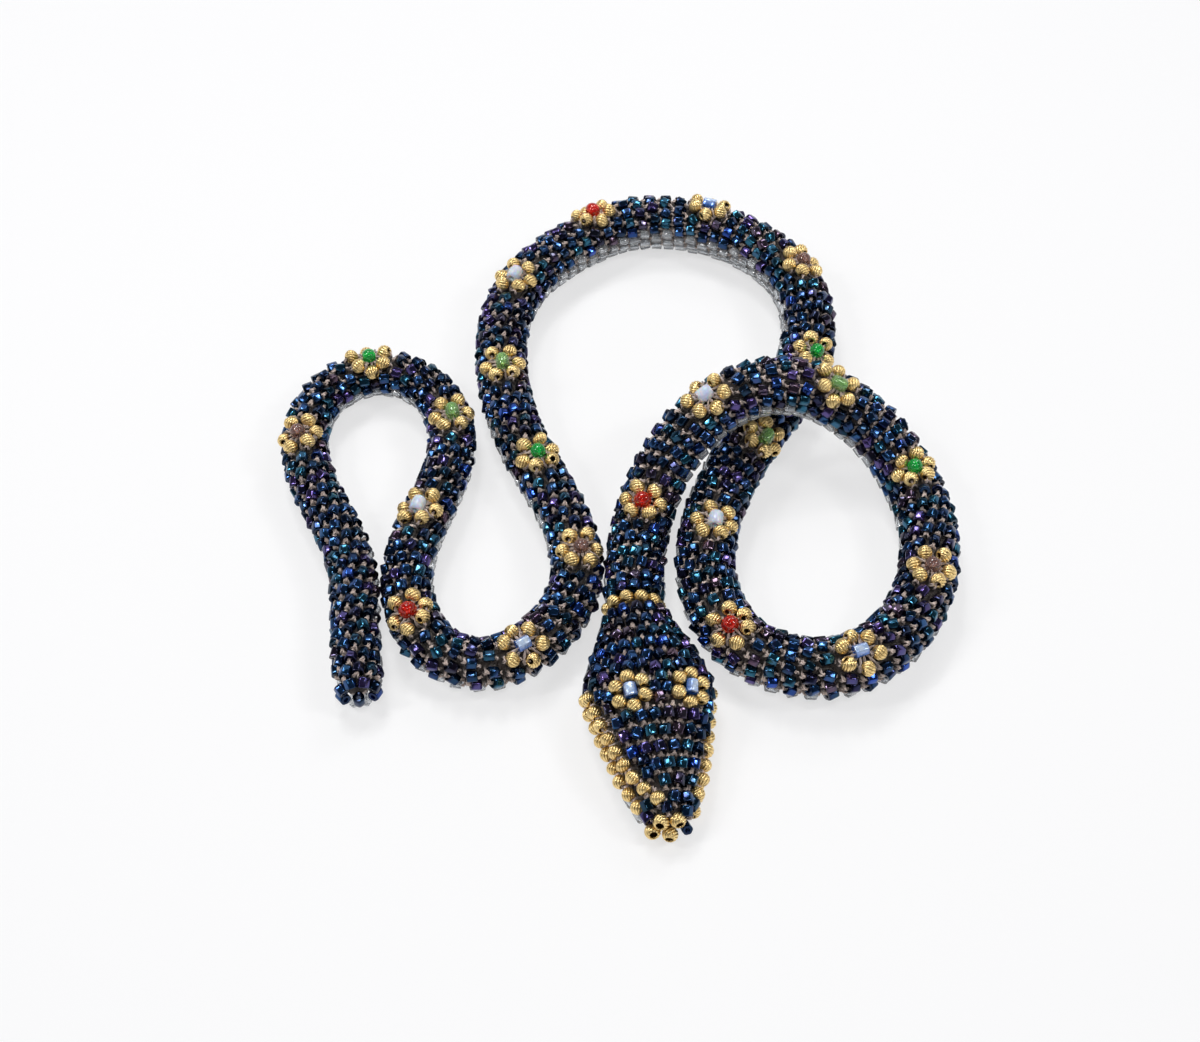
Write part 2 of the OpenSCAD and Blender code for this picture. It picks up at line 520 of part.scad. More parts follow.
module snout_beads() {
    color("goldenrod") for (p = SNOUT) at_snout(p) rotate([90, 0, 0]) ball_bead(lip_d, gold_bore);
    color("purple") at_snout(snout_purple) rotate([60, 0, 0]) tube_bead(bead_d, bead_l);
}

coil_core();
neck_core();
back_core();
s_bend_core();
tail_core();
tip_core();
head_stuffing();
nape_bend_core();
neck_bend_core();
back_bend_core();
s_flex_core();
loop_bend_core();
tip_bend_core();
coil_scales();
neck_scales();
back_scales();
s_bend_scales();
tail_scales();
tip_scales();
head_scales();
coil_petals();
neck_petals();
back_petals();
s_bend_petals();
tail_petals();
coil_centres();
neck_centre();
back_centres();
s_bend_centres();
tail_centres();
coil_belly();
neck_belly();
back_belly();
s_bend_belly();
tail_belly();
tip_belly();
head_belly();
coil_rest();
neck_rest();
back_rest();
s_bend_rest();
tail_rest();
tip_rest();
head_rest();
nape_bend_beads();
neck_bend_beads();
back_bend_beads();
s_flex_beads();
loop_bend_beads();
tip_bend_beads();
collar();
lip();
eyes();
eye_rings();
snout_beads();
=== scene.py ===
"""Bead crochet snake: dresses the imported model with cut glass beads, gold flowers and thread.

Lengths are in millimetres where beads are laid out, and in metres in meshes, settings and the stage.
Angles round the rope and the head are in degrees from the top.
"""

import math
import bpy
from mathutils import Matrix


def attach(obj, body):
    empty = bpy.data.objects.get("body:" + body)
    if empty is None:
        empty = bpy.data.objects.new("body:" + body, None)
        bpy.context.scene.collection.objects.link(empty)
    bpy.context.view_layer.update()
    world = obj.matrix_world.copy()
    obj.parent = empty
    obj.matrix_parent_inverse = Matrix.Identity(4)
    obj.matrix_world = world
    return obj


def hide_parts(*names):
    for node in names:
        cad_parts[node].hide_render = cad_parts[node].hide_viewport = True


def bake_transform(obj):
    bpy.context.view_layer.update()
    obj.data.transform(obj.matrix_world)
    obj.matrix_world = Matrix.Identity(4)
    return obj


bl_info = {
    "name": "Bead Crochet Snake",
    "version": (1, 0, 0),
    "blender": (4, 5, 0),
    "location": "View3D > Sidebar > Snake",
    "description": "Glass beads, gold flowers, thread and stage for a bead crochet snake",
    "category": "Object",
}

from types import SimpleNamespace

import bpy
import numpy as np
from bpy.props import FloatProperty, FloatVectorProperty, IntProperty, PointerProperty
from mathutils import Matrix, Vector

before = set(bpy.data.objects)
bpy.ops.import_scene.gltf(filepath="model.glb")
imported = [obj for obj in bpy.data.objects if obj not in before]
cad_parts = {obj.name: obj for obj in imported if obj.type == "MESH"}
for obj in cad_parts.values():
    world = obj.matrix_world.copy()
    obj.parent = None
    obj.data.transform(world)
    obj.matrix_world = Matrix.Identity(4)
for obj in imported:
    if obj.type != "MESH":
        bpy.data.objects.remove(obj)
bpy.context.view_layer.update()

MM = 0.001

# The rope's lay on the table, as the solids have it: its route from the head to the tail, how far it
# leans to one side at places along it, and its outer radius there

ROUTE = np.array([
    (5.5, -21.5), (6, -10), (9, 1.5), (16, 10.5), (25.5, 15.5), (36.5, 17), (47, 12.5), (53, 3),
    (54.5, -9), (51.5, -20.5), (43.5, -30), (32.5, -32.5), (22, -27.5), (17.5, -16), (18.5, -4),
    (23, 7.5), (28.5, 17.5), (35, 27.5), (37.5, 39.5), (35.5, 51), (28, 60), (17.5, 65), (5.5, 65.5),
    (-5, 59.5), (-13.5, 51), (-17.5, 39.5), (-17, 27.5), (-14.5, 16), (-9.5, 5), (-5, -5.5), (-4, -17),
    (-9.5, -26.5), (-18, -31.5), (-27, -28), (-31.5, -17.5), (-30.5, -6.5), (-27, 4), (-25.5, 15),
    (-30, 25.5), (-39.5, 29.5), (-48.5, 24), (-51, 12.5), (-47, 1), (-41, -11), (-39.5, -25), (-37.5, -40),
])
PLACE = np.array((-2.1, -4.9, 0.0))
LEAN = np.array([
    (0, 0), (41, -5), (62, 8), (83, 0), (125, -10), (147, -15), (167, 15), (188, 40), (210, 25),
    (273, 25), (294, 5), (336, -8), (378, -15), (420, -12), (441, 12), (530, 12),
]).T
ROPE_R = np.array([(0, 5.2), (260, 5.2), (340, 4.6), (400, 4.6), (450, 4.3)]).T
CURVE_STEPS = 12
CROSSING_AT, HUMP_REACH, HUMP_RISE = 47, 35, 11.05
# How far to each side of a place its directions are taken, and how this is done past the rope's ends
PROBE = 0.5
END_MARGIN, LOOK_AHEAD = 0.5, 0.4

# The beads and their pattern of rounds and flowers

BEAD_D, BEAD_L, SIDE_GAP = 1.66, 1.5, 0.4
BEAD_INSET = 0.1
GOLD_D = 2.3
ROUND_PITCH = BEAD_L + 1.11
FIRST_ROUND = 2.0
ROUNDS_PER_FLOWER = 8
FLOWER_PITCH = ROUNDS_PER_FLOWER * ROUND_PITCH
FIRST_FLOWER, FLOWER_COUNT = 19.5, 23
FLOWER_RISE = 0.5
PETAL_SEAT = 3.05
NEXT_SEAT = PETAL_SEAT + (GOLD_D + BEAD_D) / 2 + 0.08
PUSH_REACH, PUSH_FADE = 8, 4.7
BELLY_FROM = 98
TIGHT_ROOM, ROOM_FADE = 0.72, 0.28

# The bends, each by the flower that it comes after

BEND_HALF = 2 * ROUND_PITCH
BEND_AFTER = {"neck_bend": 1, "back_bend": 10, "s_flex": 14, "loop_bend": 21, "tip_bend": 23}


def unit(v):
    return v / np.linalg.norm(v, axis=-1, keepdims=True)


def running_length(points):
    """Length along a line of points, at each of them."""
    return np.concatenate([[0], np.cumsum(np.linalg.norm(np.diff(points, axis=0), axis=1))])


def spline_span(a, b, c, d, t):
    """One span of a uniform cubic B-spline with these four corners."""
    near = (3 * t**3 - 6 * t**2 + 4) * b
    far = (3 * t + 3 * t**2 - 3 * t**3 + 1) * c
    return ((1 - t) ** 3 * a + near + far + t**3 * d) / 6


def make_track():
    """Points of the smooth curve through the route, and how far along the rope each is."""
    first, final = ROUTE[1] - ROUTE[0], ROUTE[-1] - ROUTE[-2]
    before = [ROUTE[0] - 2 * first, ROUTE[0] - first]
    knots = np.vstack([*before, ROUTE, ROUTE[-1] + final, ROUTE[-1] + 2 * final])
    corners = knots[1:-1] - (knots[:-2] - 2 * knots[1:-1] + knots[2:]) / 6
    t = (np.arange(CURVE_STEPS) / CURVE_STEPS)[:, None]
    fours = list(zip(corners, corners[1:], corners[2:], corners[3:]))
    flat = np.vstack([spline_span(*four, t) for four in fours[: len(ROUTE) - 1]])
    away = np.minimum(1, abs(running_length(flat) - CROSSING_AT) / HUMP_REACH)
    climb = HUMP_RISE * (0.5 + 0.5 * np.cos(math.pi * away))
    points = np.column_stack([flat, climb])
    return points, running_length(points)


TRACK, TRACK_S = make_track()
ROPE_LEN = TRACK_S[-1]


def rope_r(s):
    return np.interp(s, *ROPE_R)


def ring_r(s):
    """Radius at which the middles of the beads lie."""
    return rope_r(s) - BEAD_D / 2 - BEAD_INSET


TIP_FROM = ROPE_LEN - rope_r(ROPE_LEN)


def on_track(s):
    return np.stack([np.interp(s, TRACK_S, TRACK[:, k]) for k in range(3)], axis=-1)


def spot(s):
    """The middle of the rope at a place along it, which may lie a little past its ends."""
    s = np.asarray(s, float)
    inside = np.clip(s, 0, ROPE_LEN - END_MARGIN)
    p = on_track(inside)
    ahead = (on_track(inside + LOOK_AHEAD) - p) * (1, 1, 0)
    p = p + unit(ahead) * (s - inside)[..., None]
    p[..., 2] += rope_r(s)
    return p


def frame_at(s):
    """Directions along the rope, up from it and to its right."""
    s = np.asarray(s, float)
    along = unit(spot(s + PROBE) - spot(s - PROBE))
    up = unit(np.array((0, 0, 1.0)) - along[..., 2:] * along)
    return along, up, np.cross(along, up)


def lean(s):
    return np.interp(s, *LEAN)


def outward(directions, angle):
    a = np.radians(angle)[..., None]
    return np.cos(a) * directions[1] + np.sin(a) * directions[2]


def around(directions, angle):
    a = np.radians(angle)[..., None]
    return np.cos(a) * directions[2] - np.sin(a) * directions[1]


def half_turn(a):
    """The same angle, from -180 to 180."""
    return (np.asarray(a) + 180) % 360 - 180


def bend_span(bend):
    middle = FIRST_FLOWER + (BEND_AFTER[bend] - 0.5) * FLOWER_PITCH
    return middle - BEND_HALF, middle + BEND_HALF


def places(s):
    """Beads in a round, without the half that sets each round off from the last."""
    return int(2 * math.pi * ring_r(s + FLOWER_PITCH / 2) / (BEAD_D + SIDE_GAP) - 0.5)


def pushed(u, r, step):
    """How far the big petal beads push a neighbour round towards the belly."""
    return np.interp(u, [0, step, 2 * step, math.pi * r], [0, PETAL_SEAT - step, NEXT_SEAT - 2 * step, 0])


def push_here(away):
    """Share of that push at a distance along the rope from the middle of a flower."""
    x = np.clip((PUSH_REACH - abs(away)) / PUSH_FADE, 0, 1)
    return x * x * (3 - 2 * x)


def pattern_repeat(i):
    """One flower and the rounds on each side of it, as rows of place, angle, kind."""
    s0 = FIRST_FLOWER + i * FLOWER_PITCH
    n = places(s0)
    turn = 360 / (n + 0.5)
    half = int(ROUNDS_PER_FLOWER / 2 * (n + 0.5))
    flower = 0 <= i < FLOWER_COUNT
    rows = []
    for k in range(-half, half):
        s = s0 + k * ROUND_PITCH / (n + 0.5)
        a = float(half_turn(k * turn))
        kind = "belly" if abs(a) > BELLY_FROM else "scale"
        if flower:
            kind = "centre" if k == 0 else "petal" if abs(k) in (1, n, n + 1) else kind
            to_mm = math.radians(1) * ring_r(s)
            push = pushed(abs(a) * to_mm, ring_r(s), turn * to_mm) * push_here(s - s0) / to_mm
            a += math.copysign(push, a)
        rows.append((s, a, kind))
    return rows


def lay_pattern():
    """All beads of the rope, as rows of place, angle, kind."""
    last = math.ceil((ROPE_LEN - FIRST_FLOWER) / FLOWER_PITCH)
    rows = [row for i in range(-1, last + 1) for row in pattern_repeat(i)]
    return [row for row in rows if FIRST_ROUND < row[0] < TIP_FROM]


ROPE_BEADS = lay_pattern()
STRETCHES = {
    "neck": (0, bend_span("neck_bend")[0]),
    "coil": (bend_span("neck_bend")[1], bend_span("back_bend")[0]),
    "back": (bend_span("back_bend")[1], bend_span("s_flex")[0]),
    "s_bend": (bend_span("s_flex")[1], bend_span("loop_bend")[0]),
    "tail": (bend_span("loop_bend")[1], bend_span("tip_bend")[0]),
    "tip": (bend_span("tip_bend")[1], ROPE_LEN),
}
FLOWERED = ("coil", "neck", "back", "s_bend", "tail")
# Each bend of the rope, with the bodies before and after it
BENDS = {
    "neck_bend": ("neck", "coil"),
    "back_bend": ("coil", "back"),
    "s_flex": ("back", "s_bend"),
    "loop_bend": ("s_bend", "tail"),
    "tip_bend": ("tail", "tip"),
}
ALL_SPANS = {**STRETCHES, **{bend: bend_span(bend) for bend in BENDS}}


def beads_of(span, kind):
    """Places and angles of one kind of bead between two places along the rope."""
    start, end = ALL_SPANS[span]
    found = [(s, a) for s, a, k in ROPE_BEADS if k == kind and start <= s < end]
    return np.array(found).reshape(-1, 2).T


def row_room(s, a, r):
    """How far apart two places a millimetre along the rope come at this angle."""
    ends = [spot(s + d) + r[:, None] * outward(frame_at(s + d), a) for d in (PROBE, -PROBE)]
    return np.linalg.norm(ends[0] - ends[1], axis=1)


def seat(s, angle, rise, slant, lift):
    """Seats beads on the rope: their middles, and their side, front and hole directions.

    They slant and lift less where the inside of a turn leaves them little room.
    """
    a = angle + lean(s)
    directions = frame_at(s)
    r = ring_r(s) + rise
    ease = np.clip((row_room(s, a, r) - TIGHT_ROOM) / ROOM_FADE, 0, 1)
    out = outward(directions, a)
    turn, tip = np.radians(ease * slant)[:, None], np.radians(ease * lift)[:, None]
    flat = np.cos(turn) * directions[0] + np.sin(turn) * around(directions, a)
    hole = np.cos(tip) * flat + np.sin(tip) * out
    side = unit(np.cross(out, hole))
    return PLACE + spot(s) + r[:, None] * out, np.stack([side, np.cross(hole, side), hole], axis=2)


def ring_seats(middle, directions, r, n, tilt=0):
    """Seats of n beads evenly round a circle, tilted towards the way ahead, and their angles."""
    a = half_turn(360 * (np.arange(n) + 0.5) / n)
    rise = math.radians(tilt)
    out = math.cos(rise) * outward(directions, a) + math.sin(rise) * directions[0]
    side = around(directions, a)
    return middle + r * out, np.stack([side, out, np.cross(side, out)], axis=2), a


# The head's shape, section by section from the collar to the snout

HEAD_LEN, HEAD_W, HEAD_H = 40, 21.5, 12.6
HEAD_TURN = math.radians(7.5)
STATIONS = np.array((0, 0.12, 0.24, 0.4, 0.55, 0.75, 0.92, 1)) * HEAD_LEN
HALF_WIDTHS = np.array((5.2 / HEAD_W, 0.31, 0.41, 0.5, 0.43, 0.34, 0.21, 0.14)) * HEAD_W
TOPS = np.array((10.4 / HEAD_H, 0.88, 0.95, 1, 0.93, 0.75, 0.58, 0.5)) * HEAD_H
MIDDLE_SHARE = 0.42
# Powers of the sine and cosine that round the upper and the lower half of a section
UPPER_POWERS, LOWER_POWERS = (0.87, 1), (0.57, 0.67)
SKIN = BEAD_D / 2 + BEAD_INSET
TURN_STEPS, TURN_PROBE = 144, 2

# Rounds of beads on the head, its eyes, and the two rows of gold beads on each side of its lip

HEAD_ROUND, FIRST_HEAD_ROUND, ROUNDS_END = 2.5, 2.6, 4.5
HEAD_ROUNDS = int((HEAD_LEN - ROUNDS_END - FIRST_HEAD_ROUND) / HEAD_ROUND)
NAPE_END = FIRST_HEAD_ROUND + 1.5 * HEAD_ROUND
REST_FROM = 168
EYE_AT, EYE_SPREAD, EYE_SHIFT, EYE_RISE, EYE_D = 18.5, 9.2, 1.4, 0.5, 2
LIP_D, LIP_RISE, LIP_FROM, LIP_LEAD, LIP_END = 2.3, 0.2, 15.5, 2, 4.2
EYE_RING_R = (EYE_D + LIP_D) / 2 + 0.27
EYE_RING_DROP = 0.3
EYE_ROOM = EYE_RING_R + (LIP_D + BEAD_D) / 2 + 0.1
LIP_ROOM = (LIP_D + BEAD_D) / 2 + 0.22
LIP_PITCH = LIP_D + 0.25
LIP_LOW = LIP_D / 2 + 1.3
LIP_ROWS = (LIP_LOW, LIP_LOW + LIP_PITCH * 0.93)
LEFT_LIFT, RIGHT_DROP = 2, 0.5
FILL_GOLD_ROOM, FILL_BLUE_ROOM = 1.92, 1.84
FILL_LEAD, FILL_END, FILL_STEP = 0.5, 2.2, 0.2


def power(v, p):
    return np.sign(v) * np.abs(v) ** p


def section(t, angle, inset):
    """A point of the head's section: across and up."""
    a = np.radians(angle)
    w = np.interp(t, STATIONS, HALF_WIDTHS) - inset
    top = np.interp(t, STATIONS, TOPS)
    middle = MIDDLE_SHARE * top
    above = np.cos(a) >= 0
    across, up = (np.where(above, *pair) for pair in zip(UPPER_POWERS, LOWER_POWERS))
    x = w * power(np.sin(a), across)
    z = np.where(above, top - inset - middle, middle - inset) * power(np.cos(a), up)
    return x, middle + z


def head_spot(t, x, z):
    """A place of the head, given along, across and up, on the table."""
    sin, cos = math.sin(HEAD_TURN), math.cos(HEAD_TURN)
    t, x, z = np.broadcast_arrays(t, x, z)
    turned = np.stack([ROUTE[0][0] + t * sin + x * cos, ROUTE[0][1] - t * cos + x * sin, z], axis=-1)
    return PLACE + turned


def head_point(t, angle, inset=SKIN):
    return head_spot(t, *section(t, angle, inset))


def slope_at(t, angle):
    return unit(head_point(t + PROBE, angle) - head_point(t - PROBE, angle))


def out_at(t, angle):
    round_it = head_point(t, angle + TURN_PROBE) - head_point(t, angle - TURN_PROBE)
    return unit(np.cross(slope_at(t, angle), round_it))


def head_place(t, angle, rise=0):
    return head_point(t, angle) + rise * out_at(t, angle)


def head_seat(t, angle, rise=0):
    """Seats beads on the head: their middles, and their side, front and hole directions."""
    t, angle = np.asarray(t, float), np.asarray(angle, float)
    out, hole = out_at(t, angle), slope_at(t, angle)
    return head_place(t, angle, rise), np.stack([np.cross(out, hole), out, hole], axis=2)


def head_ring(j):
    """One round of beads on the head, evenly spaced round its section."""
    t = FIRST_HEAD_ROUND + j * HEAD_ROUND
    angles = 360 * np.arange(TURN_STEPS + 1) / TURN_STEPS
    girth = running_length(head_point(np.full(len(angles), t), angles))
    n = int(girth[-1] / (BEAD_D + SIDE_GAP))
    along = (np.arange(n) + (j % 2) / 2) * girth[-1] / n
    return [(t, float(half_turn(a))) for a in np.interp(along, girth, angles)]


def eye_seats(rise):
    """Seats of the left and right eye."""
    a = np.arange(-60, 61, 3.0)
    across = section(EYE_AT, a, SKIN)[0]
    angles = [np.interp(EYE_SHIFT + side * EYE_SPREAD / 2, across, a) for side in (-1, 1)]
    return head_seat([EYE_AT, EYE_AT], angles, rise)


def eye_ring_spots():
    """The six places round each eye."""
    turn = np.radians(60 * np.arange(6) + 30)
    drop = np.full(6, -EYE_RING_DROP / EYE_RING_R)
    local = np.column_stack([np.cos(turn), drop, np.sin(turn)]) * EYE_RING_R
    eyes, bases = eye_seats(EYE_RISE)
    return np.array([eye + local @ base.T for eye, base in zip(eyes, bases)]), bases


def lip_height(row, side):
    """Height of a row of the lip, on the left for a side or an angle below 0 and else on the right."""
    return LIP_ROWS[row] + (LEFT_LIFT if side < 0 else -RIGHT_DROP)


def angle_at(t, z):
    """The angle at which the head's right side is at this height."""
    a = np.arange(1, 180, 3.0)
    return np.interp(-z, -section(t, a, SKIN)[1], a)


def lip_line(row, side):
    """The gold beads of one row of one jaw: place along the head and angle."""
    height = lip_height(row, side)
    t = np.arange(LIP_FROM, HEAD_LEN - LIP_END + 0.01, 0.5)
    angles = np.array([side * angle_at(x, height) for x in t])
    line = running_length(head_place(t, angles, LIP_RISE))
    along = np.interp(np.arange(row * LIP_PITCH / 2, line[-1], LIP_PITCH), line, t)
    return [(float(x), float(side * angle_at(x, height))) for x in along]


EYES = eye_seats(EYE_RISE)[0]
LIP = [bead for row in (0, 1) for side in (-1, 1) for bead in lip_line(row, side)]
LIP_SPOTS = np.array([head_place(t, a, LIP_RISE) for t, a in LIP])


def nearest(spots, p):
    """Distance from a point to the nearest of some spots."""
    return np.linalg.norm(np.asarray(spots) - p, axis=1).min()


def head_kind(t, angle, j):
    """What a place in a round of the head holds."""
    p = head_place(t, angle)
    if t < NAPE_END:
        return "nape"
    if nearest(EYES, p) < EYE_ROOM or nearest(LIP_SPOTS, p) < LIP_ROOM:
        return "left out"
    if abs(angle) > REST_FROM and j % 2 == 0:
        return "rest"
    return "belly" if p[2] < lip_height(int(t > LIP_FROM - LIP_LEAD), angle) else "scale"


HEAD_BEADS = [(t, a, head_kind(t, a, j)) for j in range(HEAD_ROUNDS + 1) for t, a in head_ring(j)]


def head_beads_of(kind):
    return np.array([(t, a) for t, a, k in HEAD_BEADS if k == kind]).T


# Beads of the snout, given along, across and up: four gold ones and, at the end, a blue one
SNOUT = np.array([
    (HEAD_LEN - 1.8, -LIP_PITCH, LIP_ROWS[0]), (HEAD_LEN - 1, 0, LIP_ROWS[0]),
    (HEAD_LEN - 2, -LIP_PITCH / 2, LIP_ROWS[1]), (HEAD_LEN - 2, LIP_PITCH / 2, LIP_ROWS[1]),
    (HEAD_LEN - 1.8, LIP_PITCH, LIP_ROWS[0]),
])


def small_fill():
    """More blue beads, wherever one fits between the rounds of the head, its eyes and its lip."""
    rings = eye_ring_spots()[0].reshape(-1, 3)
    gold_spots = np.vstack([rings, LIP_SPOTS, [head_spot(*p) for p in SNOUT]])
    blue = [head_place(t, a) for t, a, k in HEAD_BEADS if k != "left out"]
    found = []
    angles = np.array(sorted(np.arange(-100, 101, 2.0), key=abs))
    for t in np.arange(NAPE_END + FILL_LEAD, HEAD_LEN - FILL_END, FILL_STEP):
        for a, p in zip(angles, head_place(np.full(len(angles), t), angles)):
            if nearest(gold_spots, p) <= FILL_GOLD_ROOM or p[2] <= lip_height(0, a):
                continue
            if nearest(blue, p) > FILL_BLUE_ROOM:
                blue.append(p)
                found.append((t, a))
    return np.array(found).T


FILL = small_fill()


# Bead shapes of unit radius, with the hole along Z: points, normals or None, faces, and a mark from 0
# to 1 at each point, for painted shade on the rims of cut beads, for the grooves of gold ones, and for the
# sides of lined ones away from the lining's painted shine


def rings_to_quads(rings, columns, closed=True):
    """Faces between rings of points, each ring closed on itself, and the last to the first if closed."""
    n = rings if closed else rings - 1
    i, j = np.meshgrid(np.arange(n), np.arange(columns), indexing="ij")
    a, b = i * columns + j, i * columns + (j + 1) % columns
    step = (i + 1) % rings * columns - i * columns
    return np.stack([a, b, b + step, a + step], axis=-1).reshape(-1, 4)


def on_circle(r, angle):
    return np.column_stack([r * np.cos(angle), r * np.sin(angle)])


def at_height(xy, z):
    return np.column_stack([xy, np.full(len(xy), z)])


def cut_tube(bore=0.42, corner=0.16, bevel=0.14, sides=6, bulge=0.24, barrel=0.32):
    """A six-sided cut bead with half length 1, its edges softened by the fire."""
    corners = on_circle(1, 2 * np.pi * np.arange(sides) / sides)
    ahead, behind = np.roll(corners, -1, axis=0), np.roll(corners, 1, axis=0)
    ends = [corners + corner * (beside - corners) for beside in (behind, ahead)]
    outline = np.stack(ends, axis=1)
    flats = np.stack([unit(corners + behind), unit(corners + ahead)], axis=1)
    outline, flats = outline.reshape(-1, 2), flats.reshape(-1, 2)
    radial = unit(outline)
    flats = unit(flats + bulge * radial)
    # From the hole to near the middle: where each ring is, its height, and its normals across and up
    end = [
        (bore * radial, 1 - bevel / 2, -radial, 0),
        ((bore + bevel / 2) * radial, 1, 0 * radial, 1),
        (outline * (1 - bevel), 1, 0 * radial, 1),
        (outline * (1 - bevel * 0.3), 1 - bevel * 0.3, 0.7 * flats, 0.7),
        (outline, 1 - bevel, flats, barrel),
        (outline * 1.01, 0.42, flats, barrel * 0.2),
    ]
    rows = end + [(xy, -z, nxy, -nz) for xy, z, nxy, nz in reversed(end)]
    points = np.vstack([at_height(xy, z) for xy, z, nxy, nz in rows])
    normals = np.vstack([at_height(nxy, nz) for xy, z, nxy, nz in rows])
    # Painted shade: the mark is full on the end faces and bevels, where each bead meets its neighbours,
    # and 0.6 at the ends of its sides
    rim = np.zeros((len(rows), 2 * sides))
    rim[[1, 2, 3, -4, -3, -2]] = 1
    rim[[4, -5]] = 0.6
    return points, normals, rings_to_quads(len(rows), 2 * sides)[:, ::-1], rim.ravel()


def lined_tube():
    """A cut bead over a silver lining: marked 0 on the facet facing out, where the lining's shine is
    painted, and 1 at its sides and shaded ends.
    """
    verts, normals, quads, rim = cut_tube(bore=0.46, corner=0.2, bevel=0.08)
    # Painted highlight: the lining's shine goes on the facet that faces out, and the rims' painted shade
    # adds to the deep blue
    facing = unit(verts[:, :2])[:, 1]
    return verts, normals, quads, np.clip(2.2 - 2.2 * facing + 0.4 * rim, 0, 1)


def fluted_ball(flutes=10, bore=0.4, twist=1.0, depth=0.17, rings=11, length=0.94):
    """A gold bead with twisted flutes and an open hole."""
    steps = np.array((0, 0.09, 0.25, 0.5, 0.75, 0.91))
    heights = np.array((-1, -0.4, -0.05, 0.08, -0.05, -0.4))
    theta = (np.arange(flutes)[:, None] + steps).ravel() * 2 * np.pi / flutes
    relief = np.tile(heights, flutes)
    widest = math.acos(bore)
    rows = []
    for lat in np.linspace(-widest, widest, rings):
        fade = math.cos(lat) ** 0.4
        r = math.cos(lat) * (1 + depth * relief * fade)
        rows.append(at_height(on_circle(r, theta + twist * lat), length * math.sin(lat)))
    wall = bore * 0.86
    for z, lat in ((0.6, widest), (-0.6, -widest)):
        rows.append(at_height(on_circle(wall, theta + twist * lat), z * length))
    groove = np.concatenate([np.tile(np.clip(-relief, 0, 1), rings), np.ones(2 * len(theta))])
    return np.vstack(rows), None, rings_to_quads(len(rows), len(theta)), groove


def round_bead(profile, columns=16):
    """A lathed glass bead: the profile is radius and height from end to end."""
    circle = on_circle(1, np.arange(columns) * 2 * np.pi / columns)
    rows = [at_height(r * circle, z) for r, z in profile]
    return np.vstack(rows), None, rings_to_quads(len(rows), columns), np.zeros(len(rows) * columns)


RONDELLE = [
    (0.3, -0.8), (0.42, -0.86), (0.66, -0.78), (0.88, -0.52), (1, -0.18), (1, 0.18), (0.88, 0.52),
    (0.66, 0.78), (0.42, 0.86), (0.3, 0.8),
]
BARREL = [
    (0.34, -0.9), (0.46, -0.98), (0.74, -0.96), (0.9, -0.78), (0.98, -0.36), (0.98, 0.36), (0.9, 0.78),
    (0.74, 0.96), (0.46, 0.98), (0.34, 0.9),
]
TUBE = cut_tube()
GOLD_BEAD = fluted_ball()
# A ply's sides, and how far it lies from the middle of the strand and its radius, in plies
PLY_SIDES, PLY_OUT, PLY_RADIUS = 4, 0.46, 0.52
WIDE_HOLE_GOLD_BEAD = fluted_ball(bore=0.52)


